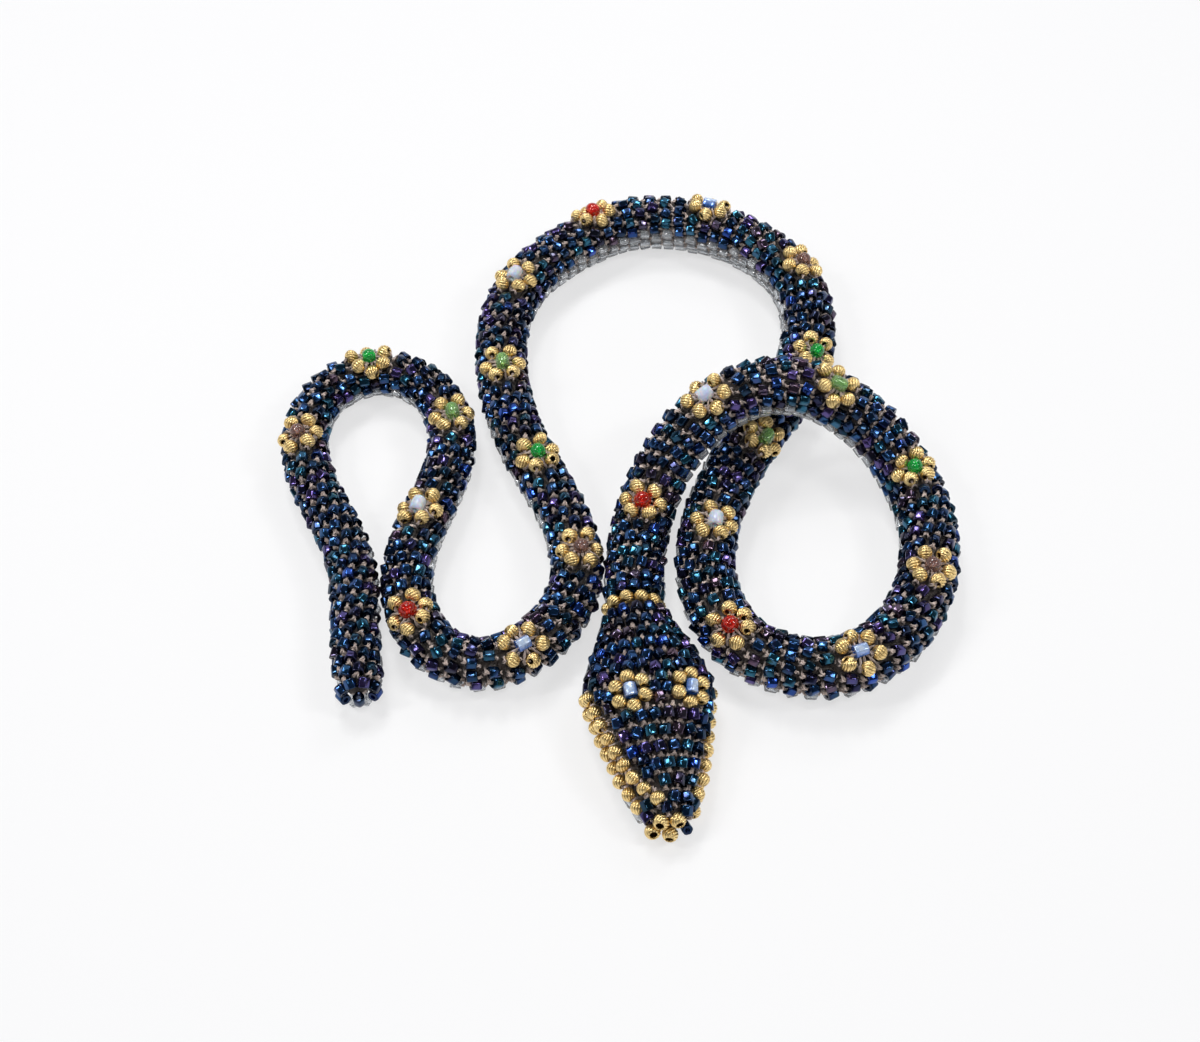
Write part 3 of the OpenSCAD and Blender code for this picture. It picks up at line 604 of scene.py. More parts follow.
class Tray:
    """Beads and strands gathered for one piece, and made into one mesh at the end.

    Each tray draws from a series of chances of its own, so a change to one leaves the others alike.
    """

    def __init__(self, context, series):
        self.parts = []
        self.pick = finishes(context)
        self.rng = np.random.default_rng(context.scene.snake_sizes.seed * 1000 + series)

    def keep(self, points, quads, chances, marks, material=0, normals=None):
        """Keeps n like parts: points (n, count, 3), the faces of one, and what the materials read."""
        n, count = points.shape[:2]
        faces = (quads + count * np.arange(n)[:, None, None]).reshape(-1, 4)
        tint = np.ones((n, count, 4))
        tint[:, :, :2] = chances[:, None]
        tint[:, :, 2] = marks
        self.parts.append((points.reshape(-1, 3), normals, faces, tint.reshape(-1, 4), material))

    def vary(self, bases, yaw, pitch):
        """Turns each bead a little off its seat, in degrees."""
        turn = np.radians(self.rng.normal(0, 1, (len(bases), 2)) * (yaw, pitch))
        side, front, hole = bases[:, :, 0], bases[:, :, 1], bases[:, :, 2]
        hole = unit(hole + np.tan(turn[:, :1]) * side + np.tan(turn[:, 1:]) * front)
        side = unit(np.cross(front, hole))
        return np.stack([side, np.cross(hole, side), hole], axis=2)

    def add(self, shape, points, bases, width, length, material=0, roll=True, spread=0.045, ragged=0.0):
        """Adds one bead of the shape at every seat, each a little different.

        The spread is that of their sizes, ragged is how far their ends are cut askew, and with roll
        each is turned round its hole.
        """
        n = len(points)
        if not n:
            return
        verts, normals, quads, marks = shape
        size = 1 + np.clip(self.rng.normal(0, spread, (n, 2)), -2 * spread, 2 * spread)
        half = size[:, [0, 0, 1]] * (width, width, length) / 2
        local = verts * half[:, None]
        if ragged:
            shear = self.rng.normal(0, ragged, (n, 2))
            local[:, :, 2] += np.einsum("nvk,nk->nv", local[:, :, :2], shear)
        if roll:
            a = self.rng.uniform(0, 2 * np.pi, n)[:, None]
            side, front, hole = bases[:, :, 0], bases[:, :, 1], bases[:, :, 2]
            turned = np.cos(a) * side + np.sin(a) * front, np.cos(a) * front - np.sin(a) * side
            bases = np.stack([*turned, hole], axis=2)
        placed = points[:, None, :] + np.einsum("nij,nvj->nvi", bases, local)
        if normals is not None:
            normals = np.einsum("nij,vj->nvi", bases, normals).reshape(-1, 3)
        self.keep(placed, quads, self.rng.uniform(0, 1, (n, 2)), marks, material, normals)

    def add_fabric(self, points, quads, depth=1.0):
        """Adds faces that are already in place, and how deep among the beads each point lies, which the
        thread's material paints as shade.
        """
        self.keep(points[None], quads, np.full((1, 2), 0.5), depth)

    def add_strands(self, paths, across, ply, turns, depth):
        """Adds two-ply twisted thread along paths of points, each with a direction across it.

        The depth says how far in among the beads each point of a path lies, from 0 to 1; the thread's
        material paints shade by it.
        """
        n, rings = paths.shape[:2]
        along = unit(np.gradient(paths, axis=1))
        across = across[:, None, :]
        first = unit(across - np.sum(along * across, axis=2, keepdims=True) * along)
        second = np.cross(along, first)
        twist = self.rng.uniform(0, 2 * np.pi, n)[:, None] + 2 * np.pi * turns * np.linspace(0, 1, rings)
        corner = np.arange(PLY_SIDES)[:, None] * 2 * np.pi / PLY_SIDES
        for half in (0, np.pi):
            a = (twist + half)[..., None]
            middle = paths + ply * PLY_OUT * (np.cos(a) * first + np.sin(a) * second)
            b = a[..., None] + corner
            out = np.cos(b) * first[:, :, None, :] + np.sin(b) * second[:, :, None, :]
            ring = middle[:, :, None, :] + ply * PLY_RADIUS * out
            quads = rings_to_quads(rings, PLY_SIDES, closed=False)
            chances = self.rng.uniform(0, 1, (n, 2))
            self.keep(ring.reshape(n, -1, 3), quads, chances, np.repeat(depth, PLY_SIDES))

    def make(self, name, *materials):
        """Makes the piece, its points in metres."""
        points, normals, quads, tints, slots = zip(*self.parts)
        counts = [len(p) for p in points]
        starts = np.cumsum([0] + counts[:-1])
        mesh = bpy.data.meshes.new(name)
        faces = np.vstack([q + start for q, start in zip(quads, starts)])
        mesh.from_pydata(np.vstack(points) * MM, [], faces, shade_flat=False)
        for material in self.pick(*materials):
            mesh.materials.append(material)
        which = np.repeat(slots, [len(q) for q in quads]).astype(np.int32)
        mesh.polygons.foreach_set("material_index", which)
        tint = mesh.attributes.new("bead", "FLOAT_COLOR", "POINT")
        tint.data.foreach_set("color", np.vstack(tints).astype(np.float32).ravel())
        if any(part is not None for part in normals):
            own = np.empty(3 * sum(counts), np.float32)
            mesh.vertex_normals.foreach_get("vector", own)
            own = own.reshape(-1, 3)
            for part, start in zip(normals, starts):
                if part is not None:
                    own[start : start + len(part)] = unit(part)
            mesh.normals_split_custom_set_from_vertices(own)
        piece = bpy.data.objects.new(name, mesh)
        bpy.context.scene.collection.objects.link(piece)
        return piece


# Materials. The noise scales are in grains to the metre, and bumps are in metres


class Finish:
    """A material under construction: the shader and short ways to add nodes to it."""

    def __init__(self, name):
        self.material = bpy.data.materials.new(name)
        self.material.use_nodes = True
        self.nodes = self.material.node_tree.nodes
        self.links = self.material.node_tree.links
        self.shader = self.nodes["Principled BSDF"]

    def add(self, kind, **settings):
        node = self.nodes.new("ShaderNode" + kind)
        for key, value in settings.items():
            setattr(node, key, value)
        return node

    def set(self, **values):
        for name, value in values.items():
            self.shader.inputs[name.replace("_", " ")].default_value = value

    def noise(self, scale, detail=2.0):
        where = self.add("TexCoord")
        noise = self.add("TexNoise")
        noise.inputs["Scale"].default_value = scale
        noise.inputs["Detail"].default_value = detail
        self.links.new(where.outputs["Object"], noise.inputs["Vector"])
        return noise.outputs["Fac"]

    def bead(self):
        """Two chances that differ from bead to bead, and the mark or depth at each point, which some
        materials turn into painted shade.
        """
        read = self.add("Attribute", attribute_name="bead")
        split = self.add("SeparateColor")
        self.links.new(read.outputs["Color"], split.inputs[0])
        return split.outputs

    def ramp(self, value, stops, interpolation="LINEAR"):
        node = self.add("ValToRGB")
        band = node.color_ramp
        band.interpolation = interpolation
        while len(band.elements) < len(stops):
            band.elements.new(1)
        for element, (place, colour) in zip(band.elements, stops):
            element.position = place
            element.color = (*colour, 1)
        self.links.new(value, node.inputs[0])
        return node.outputs[0]

    def blend(self, factor, a, b):
        node = self.add("Mix", data_type="RGBA")
        for socket, value in ((0, factor), (6, a), (7, b)):
            if isinstance(value, bpy.types.NodeSocket):
                self.links.new(value, node.inputs[socket])
            else:
                node.inputs[socket].default_value = (*value, 1)
        return node.outputs[2]

    def between(self, value, low, high, to_low, to_high):
        node = self.add("MapRange")
        self.links.new(value, node.inputs[0])
        for k, v in zip((1, 2, 3, 4), (low, high, to_low, to_high)):
            node.inputs[k].default_value = v
        return node.outputs[0]

    def patches(self, scale, detail, low, high, amount):
        """None where the noise is below low, and the amount where it is above high."""
        return self.between(self.noise(scale, detail), low, high, 0, amount)

    def combine(self, a, b, how):
        node = self.add("Math", operation=how)
        self.links.new(a, node.inputs[0])
        self.links.new(b, node.inputs[1])
        return node.outputs[0]

    def join(self, output, name):
        self.links.new(output, self.shader.inputs[name])

    def roughen(self, scale, low, high):
        """Roughness that wanders between low and high."""
        self.join(self.between(self.noise(scale), 0.3, 0.7, low, high), "Roughness")

    def bump(self, height, distance, strength):
        node = self.add("Bump")
        node.inputs["Strength"].default_value = strength
        node.inputs["Distance"].default_value = distance
        self.links.new(height, node.inputs["Height"])
        self.join(node.outputs[0], "Normal")


def dimmed(colour, share):
    return tuple(share * c for c in colour)


def iris_glass(colours):
    """Cut glass with a metal bloom that runs from navy and teal to purple and brown."""
    f = Finish("Iris glass")
    bead = f.bead()
    blue, teal, purple = colours.blue, colours.teal, colours.purple
    body = f.ramp(bead[0], [
        (0, blue), (0.3, dimmed(blue, 0.45)), (0.44, teal), (0.64, purple), (0.8, colours.brown),
        (0.88, colours.cobalt), (0.93, blue),
    ], "CONSTANT")
    bloom = f.ramp(f.noise(900, 1.0), [(0.3, teal), (0.5, blue), (0.7, purple)])
    bloomed = f.blend(f.between(bead[1], 0, 1, 0.1, 0.45), body, bloom)
    shaded = f.blend(f.between(bead[1], 0.4, 1, 0, 0.8), bloomed, dimmed(blue, 0.08))
    # Painted shade: the marked ends of each bead, where it meets its neighbours, go nearly black
    f.join(f.blend(f.between(bead[2], 0, 1, 0, 0.75), shaded, (0.001, 0.004, 0.012)), "Base Color")
    f.set(Metallic=0.92, IOR=1.6, Coat_Weight=0.14, Coat_Roughness=0.03, Coat_IOR=1.5)
    f.roughen(1400, 0.07, 0.16)
    f.bump(f.noise(1100, 1.0), 0.00005, 0.4)


def gold_plate(colours):
    """Soft yellow gold plate, darker in the grooves and a little worn."""
    f = Finish("Gold plate")
    bead = f.bead()
    bright = f.blend(f.between(bead[0], 0, 1, 0, 0.4), colours.gold, (0.72, 0.5, 0.2))
    worn = f.blend(f.patches(1500, 3.0, 0.45, 0.75, 0.35), bright, (0.45, 0.27, 0.08))
    f.join(f.blend(f.between(bead[2], 0.1, 1, 0, 0.85), worn, (0.15, 0.07, 0.018)), "Base Color")
    f.set(Metallic=1.0)
    f.roughen(2200, 0.25, 0.38)


def glass(name, colour, transmission, roughness, depth=0.25):
    """Clear coloured glass, its colour denser in places by the depth."""
    f = Finish(name)
    f.join(f.blend(f.patches(1100, 1.0, 0.35, 0.65, 1), colour, dimmed(colour, 1 - depth)), "Base Color")
    f.set(Transmission_Weight=transmission, IOR=1.52)
    f.roughen(2000, roughness * 0.6, roughness * 1.6)
    f.bump(f.noise(2400, 1.0), 0.00003, 0.2)


def opal_glass(colours):
    """Milky glass with bluer clouds in it."""
    f = Finish("Opal glass")
    f.join(f.blend(f.patches(900, 1.0, 0.35, 0.65, 1), colours.opal, (0.62, 0.72, 0.9)), "Base Color")
    f.set(Transmission_Weight=0.25, IOR=1.48, Subsurface_Weight=0.5, Subsurface_Scale=0.0008)
    f.roughen(2000, 0.08, 0.18)


def lined_glass(colours):
    """Blue glass over a real silver lining: its shine painted bright on the facet facing out, and deep
    blue at its sides.
    """
    f = Finish("Sky glass")
    bright = f.blend(f.patches(1300, 2.0, 0.35, 0.65, 0.7), colours.sky, (0.35, 0.55, 0.9))
    f.join(f.blend(f.bead()[2], bright, (0.04, 0.15, 0.55)), "Base Color")
    f.set(IOR=1.52, Metallic=0.35, Coat_Weight=0.6, Coat_Roughness=0.04)
    f.roughen(2500, 0.12, 0.3)


def crochet_thread(colours):
    """Twisted cotton thread, warm grey with fine fibres, with painted shade where it lies deep among the
    beads.
    """
    f = Finish("Crochet thread")
    bead = f.bead()
    warm = colours.thread
    body = f.blend(f.between(bead[0], 0, 1, 0, 0.75), warm, [min(1, 1.5 * c) for c in warm])
    body = f.blend(f.patches(3800, 3.0, 0.35, 0.7, 0.4), body, dimmed(warm, 0.55))
    # Painted shade: thread deep among the beads goes nearly black
    f.join(f.blend(f.between(bead[2], 0, 1, 0, 0.95), body, dimmed(warm, 0.04)), "Base Color")
    f.set(Sheen_Weight=0.25, Sheen_Roughness=0.5, Specular_IOR_Level=0.3)
    f.roughen(3000, 0.65, 0.85)
    f.bump(f.noise(9000, 2.0), 0.00006, 0.6)


def finishes(context):
    """Picks materials of the snake by name. They are made once and then shared."""
    colours = context.scene.snake_colours
    if "Iris glass" not in bpy.data.materials:
        for make in (iris_glass, gold_plate, crochet_thread, opal_glass, lined_glass):
            make(colours)
        glass("Clear glass", colours.clear, 0.78, 0.09, 0.1)
        glass("Red glass", colours.red, 0.75, 0.05, 0.3)
        glass("Light green glass", colours.light_green, 0.75, 0.04)
        glass("Green glass", colours.green, 0.7, 0.04)
        glass("Mauve glass", colours.mauve, 0.78, 0.08)
    return lambda *names: [bpy.data.materials[name] for name in names]


# Sizes and colours


def length_property(name, description, default):
    return FloatProperty(name=name, description=description, default=default, unit="LENGTH", precision=5)


class SnakeSizes(bpy.types.PropertyGroup):
    """Sizes of the beads and the thread."""

    bead_width: length_property("Blue bead width", "Width of a blue bead across its corners", 0.00205)
    bead_length: length_property("Blue bead length", "Length of a blue bead along its hole", 0.00176)
    clear_width: length_property("Clear bead width", "Width of a belly bead across its corners", 0.00184)
    clear_length: length_property("Clear bead length", "Length of a belly bead along its hole", 0.00178)
    gold_width: length_property("Gold bead width", "Diameter of a fluted gold bead", 0.00256)
    centre_width: length_property("Centre bead width", "Diameter of a flower's middle bead", 0.00295)
    ply: length_property("Ply", "Thickness of one ply of the thread", 0.00032)
    tilt: FloatProperty(
        name="Unevenness", description="How far a bead usually turns off its seat",
        default=math.radians(14), unit="ROTATION")
    seed: IntProperty(name="Seed", description="Which way the beads happen to lie", default=7)


def colour_property(name, description, default):
    return FloatVectorProperty(
        name=name, description=description, default=default, subtype="COLOR", size=3, min=0, max=1)


class SnakeColours(bpy.types.PropertyGroup):
    """Colours of the glass, the gold and the thread."""

    blue: colour_property("Blue", "Bloom of most of the blue beads", (0.022, 0.076, 0.21))
    teal: colour_property("Teal", "Bloom of the greener beads", (0.022, 0.125, 0.195))
    purple: colour_property("Purple", "Bloom of the purple beads", (0.1, 0.064, 0.22))
    brown: colour_property("Brown", "Bloom of the brown beads", (0.12, 0.07, 0.09))
    cobalt: colour_property("Cobalt", "Bloom of the few bright blue beads", (0.02, 0.07, 0.38))
    gold: colour_property("Gold", "Plate of the gold beads", (1.0, 0.76, 0.35))
    thread: colour_property("Thread", "Crochet thread", (0.7, 0.56, 0.5))
    clear: colour_property("Clear", "Belly beads", (0.86, 0.89, 0.92))
    red: colour_property("Red", "Red flower centres", (1.0, 0.035, 0.015))
    opal: colour_property("Opal", "Milky flower centres", (0.82, 0.86, 0.92))
    light_green: colour_property("Light green", "Light green flower centres", (0.5, 0.88, 0.35))
    green: colour_property("Green", "Green flower centres", (0.03, 0.75, 0.14))
    mauve: colour_property("Mauve", "Mauve flower centres", (0.5, 0.3, 0.27))
    # Sky is near white: the silver lining's painted shine seen through the blue glass
    sky: colour_property("Sky", "Blue flower centres and eyes", (0.8, 0.9, 1.0))


def sizes(context):
    """Width and length of each kind of bead, and the ply, in millimetres.

    Shares of the unevenness go through off, which gives them in degrees.
    """
    group = context.scene.snake_sizes
    tilt = math.degrees(group.tilt)
    return SimpleNamespace(
        blue=(group.bead_width / MM, group.bead_length / MM),
        clear=(group.clear_width / MM, group.clear_length / MM),
        gold=np.full(2, group.gold_width / MM),
        centre=np.full(2, group.centre_width / MM),
        ply=group.ply / MM,
        off=lambda shares: [tilt * share for share in shares],
    )


def blend_across(piece, ends):
    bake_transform(piece)


def settle(piece, place, nodes):
    """Puts a piece on its body, or leaves a bend's piece where it lies, in place of the solids it stands
    for, which it hides.
    """
    if place in BENDS:
        blend_across(piece, PLACE + spot(ALL_SPANS[place]))
    elif place == "nape_bend":
        blend_across(piece, head_spot(np.array((0, NAPE_END)), 0, rope_r(0)))
    else:
        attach(piece, place)
    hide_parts(*nodes)


# How the beads sit, how far they stray along and round the rope, and how far they turn off their seats
# to the side and up: glass ones as a share of the unevenness, gold ones in degrees. Each size is a
# share of the usual one

SLANT, LIFT = 16, 9
BLUE_SINK, PETAL_DRAW = 0.12, 0.27
STRAY_ALONG, STRAY_ROUND = 0.1, 1.5
BLUE_TURN, CLEAR_TURN, NAPE_TURN, CROWN_TURN = (1, 0.7), (0.5, 0.3), (0.5, 0.4), (0.9, 0.7)
PETAL_TURN, COLLAR_TURN, LIP_TURN, RING_TURN, SNOUT_TURN = (26, 20), (12, 12), (20, 14), (18, 12), (18, 18)
COLLAR_SIZE, LIP_SIZE, RING_SIZE, CROWN_SIZE = 0.9, 0.95, 0.94, 1.03
COLLAR_STEP, COLLAR_EDGE = 1.9, 1.5
STRAIGHT_FROM, STRAIGHT_FADE = 170, 50
LOWEST_SHARE, ON_TABLE = 0.98, 0.02
TIP_TILTS, TIP_BELLY_FROM = (34, 90), 130


def straighter(a):
    """Share of its slant that a bead keeps: none on the line where the rope lies on the table."""
    return np.clip((STRAIGHT_FROM - abs(a)) / STRAIGHT_FADE, 0, 1)


def lies_below(s, a):
    """Whether a bead is one that the rope lies on."""
    n = np.array([places(x) for x in s])
    under = abs(half_turn(a + lean(s) - 180)) < 180 / (n + 0.5) * LOWEST_SHARE
    return under & (on_track(s)[:, 2] < ON_TABLE)


def beads_by_collar():
    """Places of the beads that fill the wedge between the collar and the first round."""
    first = [(s, a) for s, a, k in ROPE_BEADS if s < FIRST_ROUND + ROUND_PITCH]
    return np.array([(s - COLLAR_STEP, a) for s, a in first if s - COLLAR_STEP > COLLAR_EDGE]).T


def tip_seats():
    """Seats of the beads that close the end of the tail, and which of them are clear."""
    directions = [d[None] for d in frame_at(TIP_FROM)]
    r = ring_r(TIP_FROM)
    points, bases, low = [], [], []
    for tilt in TIP_TILTS:
        n = max(1, int(2 * math.pi * r * math.cos(math.radians(tilt)) / (BEAD_D + SIDE_GAP)))
        p, b, a = ring_seats(PLACE + spot(TIP_FROM), directions, r, n, tilt)
        points.append(p)
        bases.append(b)
        low.append((tilt < 90) & (abs(a) > TIP_BELLY_FROM))
    return np.vstack(points), np.vstack(bases), np.concatenate(low)


def petal_seats(span):
    """Seats of the petals, each drawn in a little towards the middle of its flower."""
    s, a = beads_of(span, "petal")
    points, bases = seat(s, a, FLOWER_RISE, SLANT, 0)
    flower = FIRST_FLOWER + np.round((s - FIRST_FLOWER) / FLOWER_PITCH) * FLOWER_PITCH
    middles = seat(flower, np.zeros(len(s)), FLOWER_RISE, 0, 0)[0]
    return points + PETAL_DRAW * unit(middles - points), bases


def add_blue(tray, span, mm):
    s, a = beads_of(span, "scale")
    s = s + tray.rng.normal(0, STRAY_ALONG, len(s))
    a = a + tray.rng.normal(0, STRAY_ROUND, len(s))
    points, bases = seat(s, a, -BLUE_SINK, SLANT, LIFT)
    tray.add(TUBE, points, tray.vary(bases, *mm.off(BLUE_TURN)), *mm.blue, ragged=0.06)


def add_clear(tray, span, mm, material=0):
    s, a = beads_of(span, "belly")
    if not len(s):
        return
    low = lies_below(s, a)
    k = straighter(a)
    points, bases = seat(s, a, np.where(low, 0, -BLUE_SINK), SLANT * k, LIFT * k)
    bases = tray.vary(bases, *mm.off(CLEAR_TURN))
    tray.add(TUBE, points[~low], bases[~low], *mm.clear, material)
    tray.add(TUBE, points[low], bases[low], *mm.clear, material, roll=False)


class OBJECT_OT_snake_blue_beads(bpy.types.Operator):
    """Lay the blue cut beads of every rigid stretch of the rope"""

    bl_idname = "object.snake_blue_beads"
    bl_label = "Blue beads"
    series = 0

    def execute(self, context):
        mm = sizes(context)
        for k, span in enumerate(STRETCHES):
            tray = Tray(context, self.series + k)
            add_blue(tray, span, mm)
            if span == "neck":
                points, bases = seat(*beads_by_collar(), -BLUE_SINK, SLANT, 0)
                tray.add(TUBE, points, tray.vary(bases, *mm.off((1, 1))), *mm.blue)
            if span == "tip":
                points, bases, low = tip_seats()
                tray.add(TUBE, points[~low], bases[~low], *mm.blue)
            piece = tray.make(f"blue_beads_{span}", "Iris glass")
            settle(piece, span, [f"{span}_scales"])
        return {"FINISHED"}


class OBJECT_OT_snake_clear_beads(bpy.types.Operator):
    """Lay the clear belly beads of every rigid stretch of the rope"""

    bl_idname = "object.snake_clear_beads"
    bl_label = "Clear beads"
    series = 20

    def execute(self, context):
        mm = sizes(context)
        for k, span in enumerate(STRETCHES):
            tray = Tray(context, self.series + k)
            add_clear(tray, span, mm)
            if span == "tip":
                points, bases, low = tip_seats()
                tray.add(TUBE, points[low], bases[low], *mm.clear)
            piece = tray.make(f"clear_beads_{span}", "Clear glass")
            settle(piece, span, [f"{span}_belly", f"{span}_rest"])
        return {"FINISHED"}


class OBJECT_OT_snake_bends(bpy.types.Operator):
    """Lay the beads round every bend, on the rope on both sides of it"""

    bl_idname = "object.snake_bends"
    bl_label = "Beads at the bends"
    series = 40
    nape_series = 49

    def execute(self, context):
        mm = sizes(context)
        for k, bend in enumerate(BENDS):
            tray = Tray(context, self.series + k)
            add_blue(tray, bend, mm)
            add_clear(tray, bend, mm, material=1)
            piece = tray.make(f"beads_{bend}", "Iris glass", "Clear glass")
            settle(piece, bend, [f"{bend}_beads"])
        tray = Tray(context, self.nape_series)
        t, a = head_beads_of("nape")
        points, bases = head_seat(t, a)
        under = abs(a) > BELLY_FROM
        bases = tray.vary(bases, *mm.off(NAPE_TURN))
        tray.add(TUBE, points[~under], bases[~under], *mm.blue, ragged=0.05)
        tray.add(TUBE, points[under], bases[under], *mm.clear, material=1)
        piece = tray.make("beads_nape_bend", "Iris glass", "Clear glass")
        settle(piece, "nape_bend", ["nape_bend_beads"])
        return {"FINISHED"}


class OBJECT_OT_snake_petals(bpy.types.Operator):
    """Set the six gold beads round the middle of every flower"""

    bl_idname = "object.snake_petals"
    bl_label = "Gold petals"
    series = 60

    def execute(self, context):
        mm = sizes(context)
        for k, span in enumerate(FLOWERED):
            tray = Tray(context, self.series + k)
            points, bases = petal_seats(span)
            tray.add(GOLD_BEAD, points, tray.vary(bases, *PETAL_TURN), *mm.gold, spread=0.03)
            settle(tray.make(f"gold_petals_{span}", "Gold plate"), span, [f"{span}_petals"])
        return {"FINISHED"}


# Each flower centre in turn: its glass, its profile or None for a lined tube, and its width and length
# against the size of a centre bead
CENTRES = (
    ("Red glass", RONDELLE, (1.0, 0.92)),
    ("Opal glass", BARREL, (0.86, 0.95)),
    ("Light green glass", BARREL, (0.84, 0.92)),
    ("Green glass", RONDELLE, (0.88, 0.9)),
    ("Mauve glass", RONDELLE, (0.9, 0.88)),
    ("Sky glass", None, (0.78, 0.78)),
)
CENTRE_RISE = FLOWER_RISE + 0.15


class OBJECT_OT_snake_centres(bpy.types.Operator):
    """Set the coloured bead in the middle of every flower"""

    bl_idname = "object.snake_centres"
    bl_label = "Flower centres"
    series = 70

    def execute(self, context):
        mm = sizes(context)
        glasses = [row[0] for row in CENTRES]
        for k, span in enumerate(FLOWERED):
            tray = Tray(context, self.series + k)
            start, end = ALL_SPANS[span]
            for i in range(FLOWER_COUNT):
                s = FIRST_FLOWER + i * FLOWER_PITCH
                if start <= s < end:
                    self.set_centre(tray, s, i % len(CENTRES), mm)
            node = "neck_centre" if span == "neck" else f"{span}_centres"
            piece = tray.make(f"flower_centres_{span}", *glasses)
            settle(piece, span, [node])
        return {"FINISHED"}

    def set_centre(self, tray, s, which, mm):
        points, bases = seat(np.array([s]), np.zeros(1), CENTRE_RISE, 0, 0)
        profile, share = CENTRES[which][1:]
        size = mm.centre * share
        if profile is None:
            tray.add(lined_tube(), points, bases, *size, which, roll=False, spread=0.01)
        else:
            tray.add(round_bead(profile), points, bases, *size, which, spread=0.02)


# Thread: the crocheted tube that shows between the beads, and what goes through their holes. The paths
# are in millimetres from the middle of a bead, to its side, outwards and along its hole

FABRIC_SINK = 1.15
FABRIC_STEP = 0.5
ROPE_COLUMNS, ROPE_STITCHES, ROPE_RELIEF = 52, 13, 0.17
HEAD_COLUMNS, HEAD_STITCHES, HEAD_RELIEF = 72, 20, 0.1
# Share of the thread's painted shade under the clear belly beads, which let light through
BELLY_PAINTED_SHADE = 0.25
PLAIN_SLANT = 8
HEAD_SINK, FILL_SINK = 0.3, 0.45
NOSE_FROM, NOSE_REACH = 3.4, 1.6
V_PATH = np.array([
    (0, 0, 0.5), (0.03, 0, 0.9), (0.14, -0.12, 1.15), (0.34, -0.42, 1.32), (0.5, -0.8, 1.36),
    (0.58, -1.15, 1.3),
])
DIVE_PATH = np.array([
    (0, 0, -0.5), (0, 0, -0.9), (-0.05, -0.04, -1.18), (-0.05, -0.3, -1.4), (0.02, -0.7, -1.42),
    (0.05, -1.1, -1.3),
])
LOOP_PATH = np.array([
    (-1.05, -1.15, -0.75), (-0.8, -0.95, -1.0), (-0.35, -0.8, -1.2), (0.15, -0.76, -1.25),
    (0.62, -0.88, -1.2), (0.98, -1.15, -1.0),
])
BRAID_PATH = np.array([
    (0.12, -1.12, -1.5), (0.4, -0.84, -1.1), (0.68, -0.8, -0.4), (0.72, -0.82, 0.3), (0.5, -0.86, 0.9),
    (0.16, -1.12, 1.3),
])
SPOKE_PATH = np.array([
    (0, -0.5, 0.7), (0.05, -0.45, 1.3), (0.02, -0.6, 1.9), (-0.05, -0.85, 2.6), (0.05, -1.2, 3.3),
])
SPOKES, SPOKE_TWIST, SHORT_SPOKE = 12, 1.2, (1, 1, 0.8)
OTHER_SIDE = (-1, 1, 1)
# How far the thread strays from its path, and at the bead's hole as a share of that
WOBBLE, SPOKE_WOBBLE, WOBBLE_AT_HOLE = 0.045, 0.08, 0.2


def add_stitches(tray, points, bases, ply, both=True, painted_shade=1.0):
    """Adds the thread that comes out of each bead's hole, and the braid of stitches under it."""
    paths = [V_PATH, DIVE_PATH, BRAID_PATH, BRAID_PATH * OTHER_SIDE]
    if both:
        paths += [V_PATH * OTHER_SIDE, LOOP_PATH]
    for path in paths:
        wobble = tray.rng.normal(0, WOBBLE, (len(points), len(path), 3))
        wobble[:, :2] *= WOBBLE_AT_HOLE
        placed = points[:, None, :] + np.einsum("nij,nvj->nvi", bases, path[None] + wobble)
        # Painted shade: the thread is darker the further in under the beads it goes, less so under clear
        # beads
        depth = painted_shade * np.clip((-path[:, 1] - 0.1) / 0.7, 0, 1)
        tray.add_strands(placed, bases[:, :, 0], ply, tray.rng.uniform(0.7, 1.3), depth)


def add_spokes(tray, points, bases, ply):
    """Adds the thread that runs from under each flower's middle out between its petals."""
    for k in range(SPOKES):
        a = math.radians(360 * (k + 0.5) / SPOKES)
        turn = np.array([(math.cos(a), 0, math.sin(a)), (0, 1, 0), (-math.sin(a), 0, math.cos(a))])
        path = (SPOKE_PATH if k % 2 else SPOKE_PATH * SHORT_SPOKE) @ turn
        wobble = tray.rng.normal(0, SPOKE_WOBBLE, (len(points), len(path), 3))
        placed = points[:, None, :] + np.einsum("nij,nvj->nvi", bases, path[None] + wobble)
        # Painted shade: the spoke's thread is darker the further in under the flower it goes
        depth = np.clip((-path[:, 1] - 0.2) / 1.2, 0, 1)
        tray.add_strands(placed, bases[:, :, 1], ply, SPOKE_TWIST, depth)


def fabric_steps(start, end):
    return np.linspace(start, end, max(2, round((end - start) / FABRIC_STEP)) + 1)


def relief(s, pitch, angle, stitches, height):
    """How far the fabric stands out: two rows of stitches to a round of beads."""
    return height * np.cos(2 * np.pi * s[:, None] / pitch * 2) * np.cos(np.radians(angle) * stitches)


def fabric(start, end, round_end=False):
    """The crocheted tube between two places, bumpy with stitches, and its painted shade: full among the
    blue beads, less under the clear ones.
    """
    s = fabric_steps(start, end)
    r = ring_r(s) - FABRIC_SINK
    if round_end:
        over = np.clip((s - TIP_FROM) / r, 0, 1)
        r = r * np.sqrt(np.maximum(0.01, 1 - over * over))
    angle = np.linspace(0, 360, ROPE_COLUMNS, endpoint=False)
    directions = [d[:, None, :] for d in frame_at(s)]
    radius = (r[:, None] + relief(s, ROUND_PITCH, angle, ROPE_STITCHES, ROPE_RELIEF))[..., None]
    rings = (PLACE + spot(s))[:, None, :] + radius * outward(directions, angle[None])
    under_clear = abs(half_turn(angle[None] - lean(s)[:, None])) > BELLY_FROM
    depth = np.where(under_clear, BELLY_PAINTED_SHADE, 1)
    return rings.reshape(-1, 3), rings_to_quads(len(s), ROPE_COLUMNS, closed=False), depth.ravel()


